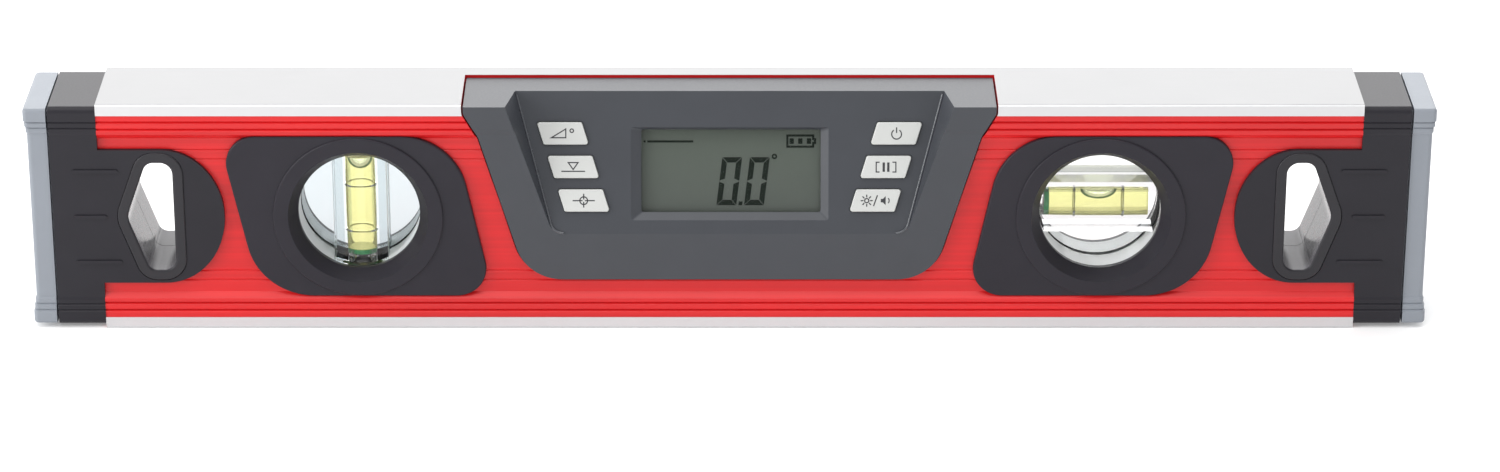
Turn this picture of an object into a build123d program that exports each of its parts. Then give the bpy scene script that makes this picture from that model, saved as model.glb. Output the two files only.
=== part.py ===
from build123d import *
import os
from math import cos, radians, sin

# Digital spirit level. Lengths are in millimetres.
# X runs along the level, the front faces -Y and +Z is up.
# The origin is the middle of the lower measuring face.

# Beam section, with heights counted from each measuring face
BEAM_WIDTH = 30.0
EDGE_BAND = 9.9  # measuring face to the vial bezels
FLANGE_THICKNESS = 3.6
WEB_THICKNESS = 2.0
CAVITY_RADIUS = 2.0
EDGE_CHAMFER = 0.4
LIP_HEIGHT = 3.4  # bare strip beside a measuring face
COAT_STEP = 0.25
GROOVES = (5.5, 7.7)
GROOVE_WIDTH = 0.9
GROOVE_DEPTH = 0.6
FLANK_START = 9.2
FLANK_END = 10.8
WAIST_DEPTH = 1.8
FINE_LINES = (14.4, 17.3)
FINE_WIDTH = 0.6
FINE_DEPTH = 0.25
SLOPE_START = 18.6
CREASE_DEPTH = 2.3
CREASE_RISE = 4.0  # crease of the sides above mid height
PORT_RADIUS = 3.4
PORT_BORE = 1.75
PORT_BITE = 0.6  # how far a screw port sinks into its flange

# Along the level, from the housing outwards, at mid height
HOUSING_BEZEL_SPACE = 9.1
BEZEL_WIDTH = 66.8
BEZEL_OUTSET = 0.45  # middle of a bezel further out than its vial
BEZEL_GRIP_SPACE = 4.25
TONGUE_LENGTH = 35.3
RING_LENGTH = 13.5
SHADOW_GAP = 0.6
BUMPER_LENGTH = 6.6

# End caps and bumpers
RING_RECESS = 1.0  # below the measuring faces
RING_EDGE_RADIUS = 1.8
HEAD_HEIGHT = 5.2  # plain head beside a measuring face
BEADS = 2  # steps from the head to the waist
BEAD_PITCH = 1.8
BEAD_GROOVE_WIDTH = 0.6
BEAD_GROOVE_DEPTH = 0.2
GRIP_DEPTH = 0.5  # grip face behind the beam's side plane
CAP_WALL = 2.2
CAP_PLATE = 3.0
SPIGOT_LENGTH = 5.0
SPIGOT_CLEARANCE = 0.15
TONGUE_HEIGHT = 41.0
TONGUE_NOSE = 17.5
RIB_PITCH = 14.0
RIB_WIDTH = 1.1
RIB_HEIGHT = 0.4
RIB_OUTER_REACH = 7.5  # past the ring's inner edge
LONG_RIB = 13.0
SHORT_RIB = 9.3
BUMPER_RECESS = 1.4
BUMPER_WAIST_DEPTH = 1.2
BUMPER_END_WAIST = 0.75  # of the end face
BUMPER_CORNER = 1.3
BUMPER_EDGE_FILLET = 0.9
PAD_INSET = 1.6
PEG_RADIUS = 2.0
PEG_HEAD_RADIUS = 2.6
PEG_HEAD_LENGTH = 1.6
PEG_CLEARANCE = 0.1
PEG_PITCH = 22.0
CAP_SCREW_RADIUS = 1.6
CAP_SCREW_HEAD_RADIUS = 2.9
CAP_SCREW_HEAD_HEIGHT = 1.8
CAP_SCREW_BITE = 8.0  # length held by the screw port

# Hand holes
HOLE_FROM_NOSE = 14.4
HOLE_HEIGHT = 33.0
HOLE_FLAT = 7.4
HOLE_APEX = 13.4
HOLE_CORNERS = (3.5, 3.0, 6.0, 3.0, 3.5)
LINER_WALL = 1.6
LINER_FLANGE = 3.0
LINER_FLANGE_SINK = 0.6
LINER_PROUD = 0.3
LINER_LIP_FILLET = 0.7
LINER_SPIGOT = 3.0
LINER_SPIGOT_WALL = 0.75
LINER_CLEARANCE = 0.2

# Vial bezels
BEZEL_HEIGHT = 49.2
BEZEL_LEAN = 10.5  # top edge further out than the bottom edge
BEZEL_SHARP_CORNER = 8.5
BEZEL_BROAD_CORNER = 19.0
BEZEL_DEPTH = 0.3
BEZEL_FLANGE = 3.0
BEZEL_CLEARANCE = 0.25
BEZEL_WALL = 1.6
BEZEL_SKIRT = 5.0
BEZEL_EDGE_FILLET = 0.5
RING_MARGIN = 0.35
RING_PROUD = 0.6
RING_FACE_WIDTH = 4.3
RING_FILLET = 0.45
WINDOW_RADIUS = 17.4
WINDOW_LIP = 1.4
BEZEL_SCREW_EDGE_INSET = 8.0
BEZEL_SCREW_SIDE_INSET = 6.4  # from the leaning side
BEZEL_BOSS_RADIUS = 2.6
BEZEL_SCREW_RADIUS = 1.2
BEZEL_SCREW_HEAD_RADIUS = 2.1
BEZEL_SCREW_HEAD_HEIGHT = 1.3
BEZEL_SCREW_LENGTH = 20.0

# Vials
BLOCK_DEPTH = 18.0
BLOCK_RIM = 2.2
BLOCK_CLEARANCE = 0.2
BAR_WIDTH = 15.3
BAR_DEPTH = 14.0
WEB_SHEET = 3.0
BARREL_RADIUS = 4.35
BARREL_END_RADIUS = 4.2
BARREL_LENGTH = 28.4
PLUG_LENGTH = 1.5
LINE_SPACING = 14.0
PLUMB_LINE_DROP = 1.5  # lines of the standing vial below the middle of its barrel
LINE_WIDTH = 0.6
LINE_THICKNESS = 0.3
BUBBLE_CLEARANCE = 0.15
BUBBLE_LENGTH = 9.8
BUBBLE_HEIGHT = 3.0
CAP_BUBBLE_HEIGHT = 3.9

# Display housing
HOUSING_FOOT = 15.1  # lower edge above the base
HOUSING_SLOPE = 0.303
HOUSING_TOP_RECESS = 0.7
HOUSING_FLARE_START = 10.0  # below the top face
HOUSING_FLARE_END = 2.8
HOUSING_FLARE = 4.1
HOUSING_CORNER = 13.5
HOUSING_FLARE_RADIUS = 7.0
HOUSING_SHOULDER_RADIUS = 2.0
HOUSING_FACE_DEPTH = 0.4
HOUSING_BAND_START = 9.2  # raised top band, below the top face
HOUSING_BAND_END = 7.6
HOUSING_BAND_DEPTH = 0.0
HOUSING_WALL = 2.0
HOUSING_GAP = 0.5
HOUSING_BACK_GAP = 0.6
HOUSING_CROWN = 6.0  # closed back strip below the top
CASE_BOSS_TOP = 13.5  # upper pair below the top face
CASE_BOSS_TOP_INSET = 6.25  # from the leaning side
CASE_BOSS_FOOT = 9.0  # lower pair above the housing's lower edge
CASE_BOSS_FOOT_INSET = 8.0
CASE_BOSS_RADIUS = 3.0
CASE_SCREW_RADIUS = 1.4
CASE_SCREW_CLEARANCE = 0.1
CASE_SCREW_HEAD_RADIUS = 2.7
CASE_SCREW_HEAD_HEIGHT = 1.5
CASE_SCREW_BITE = 7.0
SPOT_FACE_RADIUS = 3.2
SPOT_FACE_WALL = 1.2

# Tilted panel, with distances up its slope from its lower edge
PANEL_FOOT = 29.3
PANEL_TILT = 17.5
PANEL_SIDE_BAND = 13.35  # panel to the housing's side
PANEL_SLOPE = 0.26
PANEL_CORNER = 4.0
PANEL_DRAFT = 15.0
PANEL_WALL = 2.4
RECESS_REACH = 22.0
RECESS_LENGTH = 60.0

# Display stack behind the panel
DISPLAY_CENTRE = 17.2
DISPLAY_FRAME_WIDTH = 56.4
DISPLAY_FRAME_HEIGHT = 26.6
DISPLAY_BEVEL = 2.2
DISPLAY_LEFT_BEVEL = 3.0
DISPLAY_TOP_BEVEL = 0.7
DISPLAY_BEVEL_DEPTH = 1.4
DISPLAY_OVERLAP = 1.2
WINDOW_THICKNESS = 1.0
GLASS_THICKNESS = 2.0
BACKLIGHT_THICKNESS = 1.2
STRIP_WIDTH = 1.8
STRIP_SPACE = 0.4

# Main board
BOARD_THICKNESS = 1.6
BOARD_FOOT = 1.0
BOARD_HEIGHT = 34.0
BOARD_MARGIN = 3.0
POST_RADIUS = 1.8
POST_SPACE = 1.0
POST_INSET = 2.3
BOARD_SCREW_RADIUS = 0.9
BOARD_SCREW_HEAD_RADIUS = 1.7
BOARD_SCREW_HEAD_HEIGHT = 1.0
BOARD_SCREW_LENGTH = 4.6
CHIP_HEIGHT_UP = 27.0  # along the slope
CHIP_SIDE = 7.0
CHIP_THICKNESS = 1.0
SENSOR_SIDE = 5.0
SENSOR_THICKNESS = 1.2
SENSOR_INSET = 11.4  # from the display's side edge
BUZZER_RADIUS = 5.5
BUZZER_THICKNESS = 3.6
BUZZER_INSET = 9.4

# Buttons
BUTTON_NAMES = (
    ("calibrate", "reference", "units"),
    ("light", "hold", "power"),
)
BUTTON_WIDTH = 12.9
BUTTON_HEIGHT = 6.4
BUTTON_LEAN = 0.31
BUTTON_CORNER = 0.7
DISPLAY_BUTTON_SPACE = 6.95
BUTTON_PANEL_MARGIN = 2.45
BUTTON_FIRST_UP = 9.6
BUTTON_PITCH = 9.6
BUTTON_PROUD = 0.9
BUTTON_GAP = 0.2
BUTTON_FLANGE = 0.9
BUTTON_FLANGE_THICKNESS = 1.0
BUTTON_STEM_RADIUS = 1.6
BUTTON_STEM = 1.2
BUTTON_TRAVEL = 0.8
BUTTON_SPARE = 0.1
BUTTON_FILLET = 0.3
SWITCH_SIDE = 4.6
SWITCH_PLUNGER_RADIUS = 1.4
SWITCH_PLUNGER = 0.3

# Battery side
CASE_CLEARANCE = 0.2
CASE_PLATE = 2.4
GASKET_THICKNESS = 0.6
CASE_INSET = 0.4
CELL_RADIUS = 5.25
CELL_LENGTH = 44.5
CELL_NUB_RADIUS = 1.9
CELL_NUB_LENGTH = 1.0
CELL_SPACE = 0.3
CELL_DOOR_SPACE = 0.3
TUB_FLOOR = 18.8  # lower inner face above the base
TUB_WALL = 1.5
CONTACT_THICKNESS = 0.4
CONTACT_SIDE = 8.0
LEAF_BOW = 2.4
LEAF_WIDTH = 4.0
LEAF_HEIGHT = 7.0
TAB_WIDTH = 1.6
TAB_SPACE = 0.15
PAD_SIDE = 6.0
PAD_EDGE = 3.0
PAD_CORNER = 3.0
DOOR_CLEARANCE = 0.3
DOOR_DEPTH = 0.4
DOOR_THICKNESS = 2.0
DOOR_FILLET = 0.5
DOOR_GROOVES = 5
DOOR_GROOVE_PITCH = 3.2
DOOR_GROOVE_WIDTH = 1.2
DOOR_GROOVE_LENGTH = 14.0
DOOR_GROOVE_DEPTH = 0.5
SEAL_WIDTH = 1.6
SEAL_INSET = 0.2
SEAL_THICKNESS = 0.6
DOOR_SCREW_INSET = 3.0
DOOR_SCREW_RADIUS = 1.1
DOOR_SCREW_CLEARANCE = 0.2
DOOR_SCREW_HEAD_RADIUS = 2.1
DOOR_SCREW_HEAD_HEIGHT = 1.2
DOOR_SCREW_LENGTH = 5.0

# Screw recesses, as shares of a screw's own head
RECESS_SPAN = 1.25
RECESS_WIDTH = 0.34
RECESS_DEPTH = 0.6

# Places worked out from the sizes above
BEAM_HEIGHT = BEZEL_HEIGHT + 2 * EDGE_BAND
MID = BEAM_HEIGHT / 2
FRONT = -BEAM_WIDTH / 2
REAR = BEAM_WIDTH / 2
CREASE_HEIGHT = MID + CREASE_RISE
BUTTON_FIRST_X = DISPLAY_FRAME_WIDTH / 2 + DISPLAY_BUTTON_SPACE + BUTTON_WIDTH / 2
PANEL_FOOT_WIDTH = 2 * (BUTTON_FIRST_X + BUTTON_WIDTH / 2 + BUTTON_PANEL_MARGIN)
HOUSING_MID_WIDTH = PANEL_FOOT_WIDTH + 2 * PANEL_SIDE_BAND
CAVITY_HALF = REAR - WAIST_DEPTH - WEB_THICKNESS
PORT_HEIGHT = FLANGE_THICKNESS + PORT_RADIUS - PORT_BITE
BEZEL_X = HOUSING_MID_WIDTH / 2 + HOUSING_BEZEL_SPACE + BEZEL_WIDTH / 2
VIAL_X = BEZEL_X - BEZEL_OUTSET
NOSE_X = BEZEL_X + BEZEL_WIDTH / 2 + BEZEL_GRIP_SPACE
BEAM_END = NOSE_X + TONGUE_LENGTH
RING_END = BEAM_END + RING_LENGTH
BUMPER_START = RING_END + SHADOW_GAP
LEVEL_END = BUMPER_START + BUMPER_LENGTH
SEAT_RADIUS = WINDOW_RADIUS + BLOCK_RIM + BLOCK_CLEARANCE
SLEEVE_RADIUS = SEAT_RADIUS + BEZEL_WALL
BLOCK_RADIUS = SEAT_RADIUS - BLOCK_CLEARANCE
RING_RADIUS = BEZEL_HEIGHT / 2 - RING_MARGIN
CASE_BACK = CAVITY_HALF - CASE_CLEARANCE
CASE_FRONT = CASE_BACK - CASE_PLATE
HOUSING_BACK = CASE_FRONT - GASKET_THICKNESS
HOUSING_TOP = BEAM_HEIGHT - HOUSING_TOP_RECESS
GLASS_FRONT = PANEL_WALL + WINDOW_THICKNESS
BACKLIGHT_FRONT = GLASS_FRONT + GLASS_THICKNESS
BOARD_FRONT = BACKLIGHT_FRONT + BACKLIGHT_THICKNESS
BOARD_BACK = BOARD_FRONT + BOARD_THICKNESS
STEM_END = PANEL_WALL + BUTTON_FLANGE_THICKNESS + BUTTON_STEM
SWITCH_TOP = STEM_END + BUTTON_TRAVEL + BUTTON_SPARE
DISPLAY_WIDTH = DISPLAY_FRAME_WIDTH + 2 * DISPLAY_OVERLAP
DISPLAY_HEIGHT = DISPLAY_FRAME_HEIGHT + 2 * DISPLAY_OVERLAP
SENSOR_X = SENSOR_INSET - DISPLAY_WIDTH / 2
BUZZER_X = DISPLAY_WIDTH / 2 - BUZZER_INSET
DOOR_FRONT = REAR - DOOR_DEPTH - DOOR_THICKNESS
PAD_BACK = DOOR_FRONT - SEAL_THICKNESS
CELL_Y = DOOR_FRONT - CELL_DOOR_SPACE - CELL_RADIUS
CELL_LOW = TUB_FLOOR + CELL_SPACE + CELL_RADIUS
CELL_HIGH = CELL_LOW + 2 * CELL_RADIUS + CELL_SPACE
TUB_CEILING = CELL_HIGH + CELL_RADIUS + CELL_SPACE
TUB_MID = (TUB_FLOOR + TUB_CEILING) / 2
TUB_HALF = CELL_LENGTH / 2 + LEAF_BOW + CONTACT_THICKNESS
TUB_FRONT = CELL_Y - CELL_RADIUS - CELL_SPACE
PAD_WIDTH = 2 * (TUB_HALF + PAD_SIDE)
PAD_HEIGHT = TUB_CEILING - TUB_FLOOR + 2 * PAD_EDGE
THROUGH = 2 * BEAM_WIDTH  # longer than any cut needs


# Placing helpers

def facing_front(depth):
    """Plane at a depth, with X and Z as its own axes, facing the front."""
    return Plane(origin=(0, depth, 0), x_dir=(1, 0, 0), z_dir=(0, -1, 0))


def slab(face, front, back):
    """Front outline carried between two depths."""
    return extrude(facing_front(back) * face, amount=back - front)


def length_of(face, start, end):
    """Section in Y and Z carried along X."""
    plane = Plane(origin=(start, 0, 0), x_dir=(0, 1, 0), z_dir=(1, 0, 0))
    return extrude(plane * face, amount=end - start)


def rod_y(x, z, radius, front, back):
    """Round rod along Y."""
    return slab(Pos(x, z) * Circle(radius), front, back)


def rod_x(y, z, radius, start, end):
    """Round rod along X."""
    return length_of(Pos(y, z) * Circle(radius), start, end)


def rounded(points, radii):
    """Closed outline with a radius at each corner."""
    return make_face(FilletPolyline(*points, radius=radii, close=True))


def left_of(shape):
    """Mirror image on the left end."""
    return mirror(shape, about=Plane.YZ)


def rear_of(shape):
    """Mirror image on the back."""
    return mirror(shape, about=Plane.XZ)


def group(pieces):
    """Separate solids kept together in one node."""
    return Compound([solid for piece in pieces for solid in piece.solids()])


def screw(radius, length, head_radius, head_height):
    """Pan head screw along Z, with the seat of its head at zero and a cross recess."""
    head = extrude(Circle(head_radius), amount=head_height)
    head = fillet(head.faces().sort_by(Axis.Z)[-1].edges(), head_height / 3)
    shank = extrude(Circle(radius), amount=-length)
    depth = RECESS_DEPTH * head_height
    span = RECESS_SPAN * head_radius
    slot = Box(span, RECESS_WIDTH * head_radius, 2 * depth)
    cross = Pos(0, 0, head_height) * (slot + Rot(0, 0, 90) * slot)
    return head + shank - cross


def from_rear(x, z, depth):
    """Plane at a depth whose normal points out of the back."""
    return Plane(origin=(x, depth, z), x_dir=(-1, 0, 0), z_dir=(0, 1, 0))


# Beam

def notch(surface, depth, at, width):
    """Three points of a V groove in a side."""
    return [(surface, at - width / 2), (surface + depth, at), (surface, at + width / 2)]


def edge_profile(grooved):
    """Side near one measuring face, as pairs of depth and height from that face."""
    points = [(EDGE_CHAMFER, 0), (0, EDGE_CHAMFER), (0, LIP_HEIGHT), (COAT_STEP, LIP_HEIGHT)]
    if grooved:
        for at in GROOVES:
            points += notch(COAT_STEP, GROOVE_DEPTH, at, GROOVE_WIDTH)
    points += [(COAT_STEP, FLANK_START), (WAIST_DEPTH, FLANK_END)]
    if grooved:
        for at in FINE_LINES:
            points += notch(WAIST_DEPTH, FINE_DEPTH, at, FINE_WIDTH)
    points.append((WAIST_DEPTH, SLOPE_START))
    return points


def closed_section(side):
    """Section with the same side on the front and the back."""
    rear = [(REAR - depth, height) for depth, height in side]
    front = [(-y, height) for y, height in reversed(rear)]
    return make_face(Polyline(*rear, *front, close=True))


def beam_outline(grooved):
    """Outer section of the extrusion."""
    lower = edge_profile(grooved)
    upper = [(depth, BEAM_HEIGHT - height) for depth, height in reversed(lower)]
    return closed_section(lower + [(CREASE_DEPTH, CREASE_HEIGHT)] + upper)


def beam_section():
    """Hollow section with a screw port on each flange."""
    cavity = RectangleRounded(2 * CAVITY_HALF, BEAM_HEIGHT - 2 * FLANGE_THICKNESS, CAVITY_RADIUS)
    section = beam_outline(True) - Pos(0, MID) * cavity
    for height in (PORT_HEIGHT, BEAM_HEIGHT - PORT_HEIGHT):
        section += Pos(0, height) * Circle(PORT_RADIUS)
        section -= Pos(0, height) * Circle(PORT_BORE)
    return section


def beam():
    """Extrusion with its cut-outs."""
    body = length_of(beam_section(), -BEAM_END, BEAM_END)
    pocket = offset(housing_outline(BEAM_HEIGHT + HOUSING_CROWN), HOUSING_GAP)
    body -= slab(pocket, -THROUGH, HOUSING_BACK + HOUSING_BACK_GAP)
    vial_cut = slab(offset(bezel_outline(), -BEZEL_FLANGE), -THROUGH, THROUGH)
    hand_cut = slab(offset(hole_outline(), LINER_WALL + LINER_CLEARANCE), -THROUGH, THROUGH)
    for cut in (vial_cut, hand_cut):
        body -= cut
        body -= left_of(cut)
    body -= slab(pad_outline(DOOR_CLEARANCE), 0, THROUGH)
    hole = CASE_SCREW_RADIUS + CASE_SCREW_CLEARANCE
    for x, z in case_screw_places():
        body -= rod_y(x, z, hole, CASE_BACK, THROUGH)
        body -= rod_y(x, z, SPOT_FACE_RADIUS, CAVITY_HALF + SPOT_FACE_WALL, THROUGH)
    return body


def beam_envelope():
    """Beam without grooves or cut-outs, which the pieces on its sides are fitted to."""
    return length_of(beam_outline(False), -BEAM_END, BEAM_END)


# End caps, bumpers and hand holes, made for the right end

def beaded_side(recess, waist_depth):
    """Side of an end piece from its head to its waist and back, as pairs of depth and height."""
    step = waist_depth / (BEADS + 1)
    side = [(0, recess), (0, HEAD_HEIGHT)]
    for bead in range(1, BEADS + 1):
        start = HEAD_HEIGHT + (bead - 1) * BEAD_PITCH
        side.append((bead * step + BEAD_GROOVE_DEPTH, start + BEAD_GROOVE_WIDTH / 2))
        side.append((bead * step, start + BEAD_GROOVE_WIDTH))
        side.append((bead * step, start + BEAD_PITCH))
    side.append((waist_depth, HEAD_HEIGHT + BEADS * BEAD_PITCH + BEAD_GROOVE_WIDTH))
    return side + [(depth, BEAM_HEIGHT - height) for depth, height in reversed(side)]


def ring_section():
    """Outer section of a ring, set back from the measuring faces."""
    side = beaded_side(RING_RECESS, GRIP_DEPTH)
    rear = [(REAR - depth, height) for depth, height in side]
    front = [(-y, height) for y, height in reversed(rear)]
    corners = [RING_EDGE_RADIUS] + [0] * (len(side) - 2) + [RING_EDGE_RADIUS]
    return rounded(rear + front, corners + corners)


def tongue_outline():
    """Rounded tongue from its nose to the ring."""
    nose = Pos(NOSE_X + TONGUE_NOSE, MID) * Ellipse(TONGUE_NOSE, TONGUE_HEIGHT / 2)
    root = BEAM_END + CAP_WALL - NOSE_X - TONGUE_NOSE
    middle = NOSE_X + TONGUE_NOSE + root / 2
    return nose + Pos(middle, MID) * Rectangle(root, TONGUE_HEIGHT)


def hole_outline():
    """Five-cornered hand hole with its point towards the end."""
    inner = NOSE_X + HOLE_FROM_NOSE
    half = HOLE_HEIGHT / 2
    points = [
        (inner, MID - half),
        (inner + HOLE_FLAT, MID - half),
        (inner + HOLE_APEX, MID),
        (inner + HOLE_FLAT, MID + half),
        (inner, MID + half),
    ]
    return rounded(points, HOLE_CORNERS)


def grip_ribs():
    """Three short ribs on the front face of a grip."""
    face = FRONT + GRIP_DEPTH
    outer = BEAM_END + RIB_OUTER_REACH
    ribs = []
    for row, length in ((-1, LONG_RIB), (0, SHORT_RIB), (1, LONG_RIB)):
        rib = SlotOverall(length, RIB_WIDTH)
        place = Pos(outer - length / 2, MID + row * RIB_PITCH)
        ribs.append(slab(place * rib, face - RIB_HEIGHT, face + RIB_HEIGHT))
    return ribs


def end_cap():
    """Ring over the beam's end, with a spigot, screw bosses and a tongue on each side."""
    plate_start = RING_END - CAP_PLATE
    cap = length_of(ring_section(), BEAM_END, RING_END)
    inner_depth = 2 * (REAR - GRIP_DEPTH - CAP_WALL)
    inner_height = BEAM_HEIGHT - 2 * (RING_RECESS + CAP_WALL)
    cap -= length_of(Pos(0, MID) * Rectangle(inner_depth, inner_height), BEAM_END, plate_start)
    port_top = PORT_HEIGHT + PORT_RADIUS + SPIGOT_CLEARANCE
    width = 2 * (CAVITY_HALF - SPIGOT_CLEARANCE)
    height = BEAM_HEIGHT - 2 * port_top
    frame = RectangleRounded(width, height, CAVITY_RADIUS)
    frame -= Rectangle(width - 2 * CAP_WALL, height - 2 * CAP_WALL)
    cap += length_of(Pos(0, MID) * frame, BEAM_END - SPIGOT_LENGTH, plate_start)
    half_tongue = slab(tongue_outline(), FRONT + GRIP_DEPTH, FRONT + CREASE_DEPTH + CAP_WALL)
    half_tongue -= beam_envelope()
    for tongue in (half_tongue, rear_of(half_tongue)):
        cap += tongue
    for rib in grip_ribs():
        cap += rib
        cap += rear_of(rib)
    hole = offset(hole_outline(), LINER_WALL + LINER_CLEARANCE)
    cap -= slab(hole, -THROUGH, THROUGH)
    seat = offset(hole_outline(), LINER_FLANGE + LINER_CLEARANCE)
    sink = slab(seat, -THROUGH, FRONT + GRIP_DEPTH + LINER_FLANGE_SINK)
    cap -= sink
    cap -= rear_of(sink)
    for height in (PORT_HEIGHT, BEAM_HEIGHT - PORT_HEIGHT):
        cap += rod_x(0, height, PORT_RADIUS, BEAM_END, RING_END)
        cap -= rod_x(0, height, PORT_BORE, BEAM_END, RING_END)
        head = CAP_SCREW_HEAD_RADIUS + PEG_CLEARANCE
        cap -= rod_x(0, height, head, RING_END - CAP_SCREW_HEAD_HEIGHT, RING_END)
    for height in peg_heights():
        cap -= rod_x(0, height, PEG_RADIUS + PEG_CLEARANCE, plate_start, RING_END)
    return cap


def peg_heights():
    """Heights of the two pegs of a bumper."""
    return MID - PEG_PITCH / 2, MID + PEG_PITCH / 2


def bumper_slice(depth, height):
    """Plan of a bumper where its side lies at a depth behind its head."""
    end = LEVEL_END - depth * BUMPER_END_WAIST / BUMPER_WAIST_DEPTH
    half = REAR - depth
    points = [(BUMPER_START, -half), (end, -half), (end, half), (BUMPER_START, half)]
    return Pos(0, 0, height) * rounded(points, [0, BUMPER_CORNER, BUMPER_CORNER, 0])


def bumper():
    """End bumper with a seating pad and two mushroom pegs."""
    side = beaded_side(BUMPER_RECESS, BUMPER_WAIST_DEPTH)
    body = loft([bumper_slice(depth, height) for depth, height in side], ruled=True)
    by_height = body.faces().sort_by(Axis.Z)
    rim = by_height[0].edges() + by_height[-1].edges()
    body = fillet([edge for edge in rim if edge.center().X > BUMPER_START], BUMPER_EDGE_FILLET)
    pad_depth = 2 * (REAR - BUMPER_WAIST_DEPTH - PAD_INSET)
    pad_height = BEAM_HEIGHT - 2 * (BUMPER_RECESS + PAD_INSET)
    body += length_of(Pos(0, MID) * Rectangle(pad_depth, pad_height), RING_END, BUMPER_START)
    plate_start = RING_END - CAP_PLATE
    head_start = plate_start - PEG_HEAD_LENGTH - PEG_CLEARANCE
    for height in peg_heights():
        body += rod_x(0, height, PEG_RADIUS, head_start, RING_END)
        body += rod_x(0, height, PEG_HEAD_RADIUS, head_start, plate_start - PEG_CLEARANCE)
    return body


def cap_screws():
    """Two screws through a cap into the beam's screw ports."""
    seat = RING_END - CAP_SCREW_HEAD_HEIGHT
    length = seat - BEAM_END + CAP_SCREW_BITE
    one = screw(CAP_SCREW_RADIUS, length, CAP_SCREW_HEAD_RADIUS, CAP_SCREW_HEAD_HEIGHT)
    places = (PORT_HEIGHT, BEAM_HEIGHT - PORT_HEIGHT)
    outward = [Plane(origin=(seat, 0, z), x_dir=(0, 1, 0), z_dir=(1, 0, 0)) for z in places]
    return [plane * one for plane in outward]


def hole_liner(front_half):
    """Half of the hand hole's lining, with its lip on the grip."""
    hole = hole_outline()
    face = FRONT + GRIP_DEPTH
    lip = slab(offset(hole, LINER_FLANGE), face - LINER_PROUD, face + LINER_FLANGE_SINK)
    lip = fillet(lip.faces().sort_by(Axis.Y)[0].edges(), LINER_PROUD)
    liner = lip + slab(offset(hole, LINER_WALL), face, 0)
    liner -= slab(hole, -THROUGH, THROUGH)
    mouth = liner.faces().sort_by(Axis.Y)[0].inner_wires()[0].edges()
    liner = fillet(mouth, LINER_LIP_FILLET)
    spigot = offset(hole, LINER_SPIGOT_WALL) - hole
    if front_half:
        return liner + slab(spigot, 0, LINER_SPIGOT)
    return liner - slab(offset(spigot, LINER_CLEARANCE), -LINER_SPIGOT - LINER_CLEARANCE, 0)


# Vial bezels and vials, made for the right side

def bezel_outline():
    """Leaning four-sided outline with two sharp and two broad corners."""
    half = BEZEL_WIDTH / 2
    lean = BEZEL_LEAN / 2
    low = MID - BEZEL_HEIGHT / 2
    high = MID + BEZEL_HEIGHT / 2
    points = [
        (BEZEL_X - half - lean, low),
        (BEZEL_X + half - lean, low),
        (BEZEL_X + half + lean, high),
        (BEZEL_X - half + lean, high),
    ]
    radii = [BEZEL_SHARP_CORNER, BEZEL_BROAD_CORNER, BEZEL_SHARP_CORNER, BEZEL_BROAD_CORNER]
    return rounded(points, radii)


def bezel_screw_places():
    """Two screws at the sharp corners of a bezel."""
    rise = BEZEL_HEIGHT / 2 - BEZEL_SCREW_EDGE_INSET
    side_at_rise = BEZEL_WIDTH / 2 + BEZEL_LEAN * rise / BEZEL_HEIGHT
    reach = side_at_rise - BEZEL_SCREW_SIDE_INSET
    return [(BEZEL_X + side * reach, MID + side * rise) for side in (-1, 1)]


def bezel(head_sink):
    """Front bezel: flange on the beam, skirt in the cut-out, raised ring and vial sleeve."""
    outline = bezel_outline()
    face = FRONT + BEZEL_DEPTH
    back = FRONT + CREASE_DEPTH + BEZEL_CLEARANCE
    plate = slab(outline, face, back)
    plate = fillet(plate.faces().sort_by(Axis.Y)[0].edges(), BEZEL_EDGE_FILLET)
    flange = plate - beam_envelope()
    skirt_outline = offset(outline, -BEZEL_FLANGE - BEZEL_CLEARANCE)
    skirt = slab(skirt_outline, face + BEZEL_EDGE_FILLET, back + BEZEL_SKIRT)
    skirt -= slab(offset(skirt_outline, -BEZEL_WALL), back, back + BEZEL_SKIRT)
    ring = rod_y(VIAL_X, MID, RING_RADIUS, face - RING_PROUD, face + BEZEL_EDGE_FILLET)
    ring = fillet(ring.faces().sort_by(Axis.Y)[0].edges(), RING_FILLET)
    body = flange + skirt + ring + rod_y(VIAL_X, MID, SLEEVE_RADIUS, face, 0)
    seat = -BLOCK_DEPTH / 2 - BLOCK_CLEARANCE
    body -= rod_y(VIAL_X, MID, SEAT_RADIUS, seat, 0)
    body -= rod_y(VIAL_X, MID, WINDOW_RADIUS, -THROUGH, 0)
    flare_height = seat - WINDOW_LIP - face + RING_PROUD
    flare = Cone(WINDOW_RADIUS, RING_RADIUS - RING_FACE_WIDTH, flare_height)
    flare_middle = (seat - WINDOW_LIP + face - RING_PROUD) / 2
    body -= Pos(VIAL_X, flare_middle, MID) * Rot(90, 0, 0) * flare
    for x, z in bezel_screw_places():
        body += rod_y(x, z, BEZEL_BOSS_RADIUS, back - BEZEL_CLEARANCE, 0)
        body -= rod_y(x, z, BEZEL_SCREW_RADIUS, -BEZEL_SCREW_LENGTH / 2 - BEZEL_CLEARANCE, 0)
        if head_sink:
            body -= rod_y(x, z, BEZEL_SCREW_RADIUS, -THROUGH, 0)
            body -= rod_y(x, z, BEZEL_SCREW_HEAD_RADIUS + BEZEL_CLEARANCE, -THROUGH, face + head_sink)
    return body


def bezel_screws():
    """Screws from the rear bezel into the front one."""
    seat = REAR - BEZEL_DEPTH - BEZEL_SCREW_HEAD_HEIGHT
    one = screw(BEZEL_SCREW_RADIUS, BEZEL_SCREW_LENGTH, BEZEL_SCREW_HEAD_RADIUS, BEZEL_SCREW_HEAD_HEIGHT)
    return [from_rear(x, z, seat) * one for x, z in bezel_screw_places()]


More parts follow.
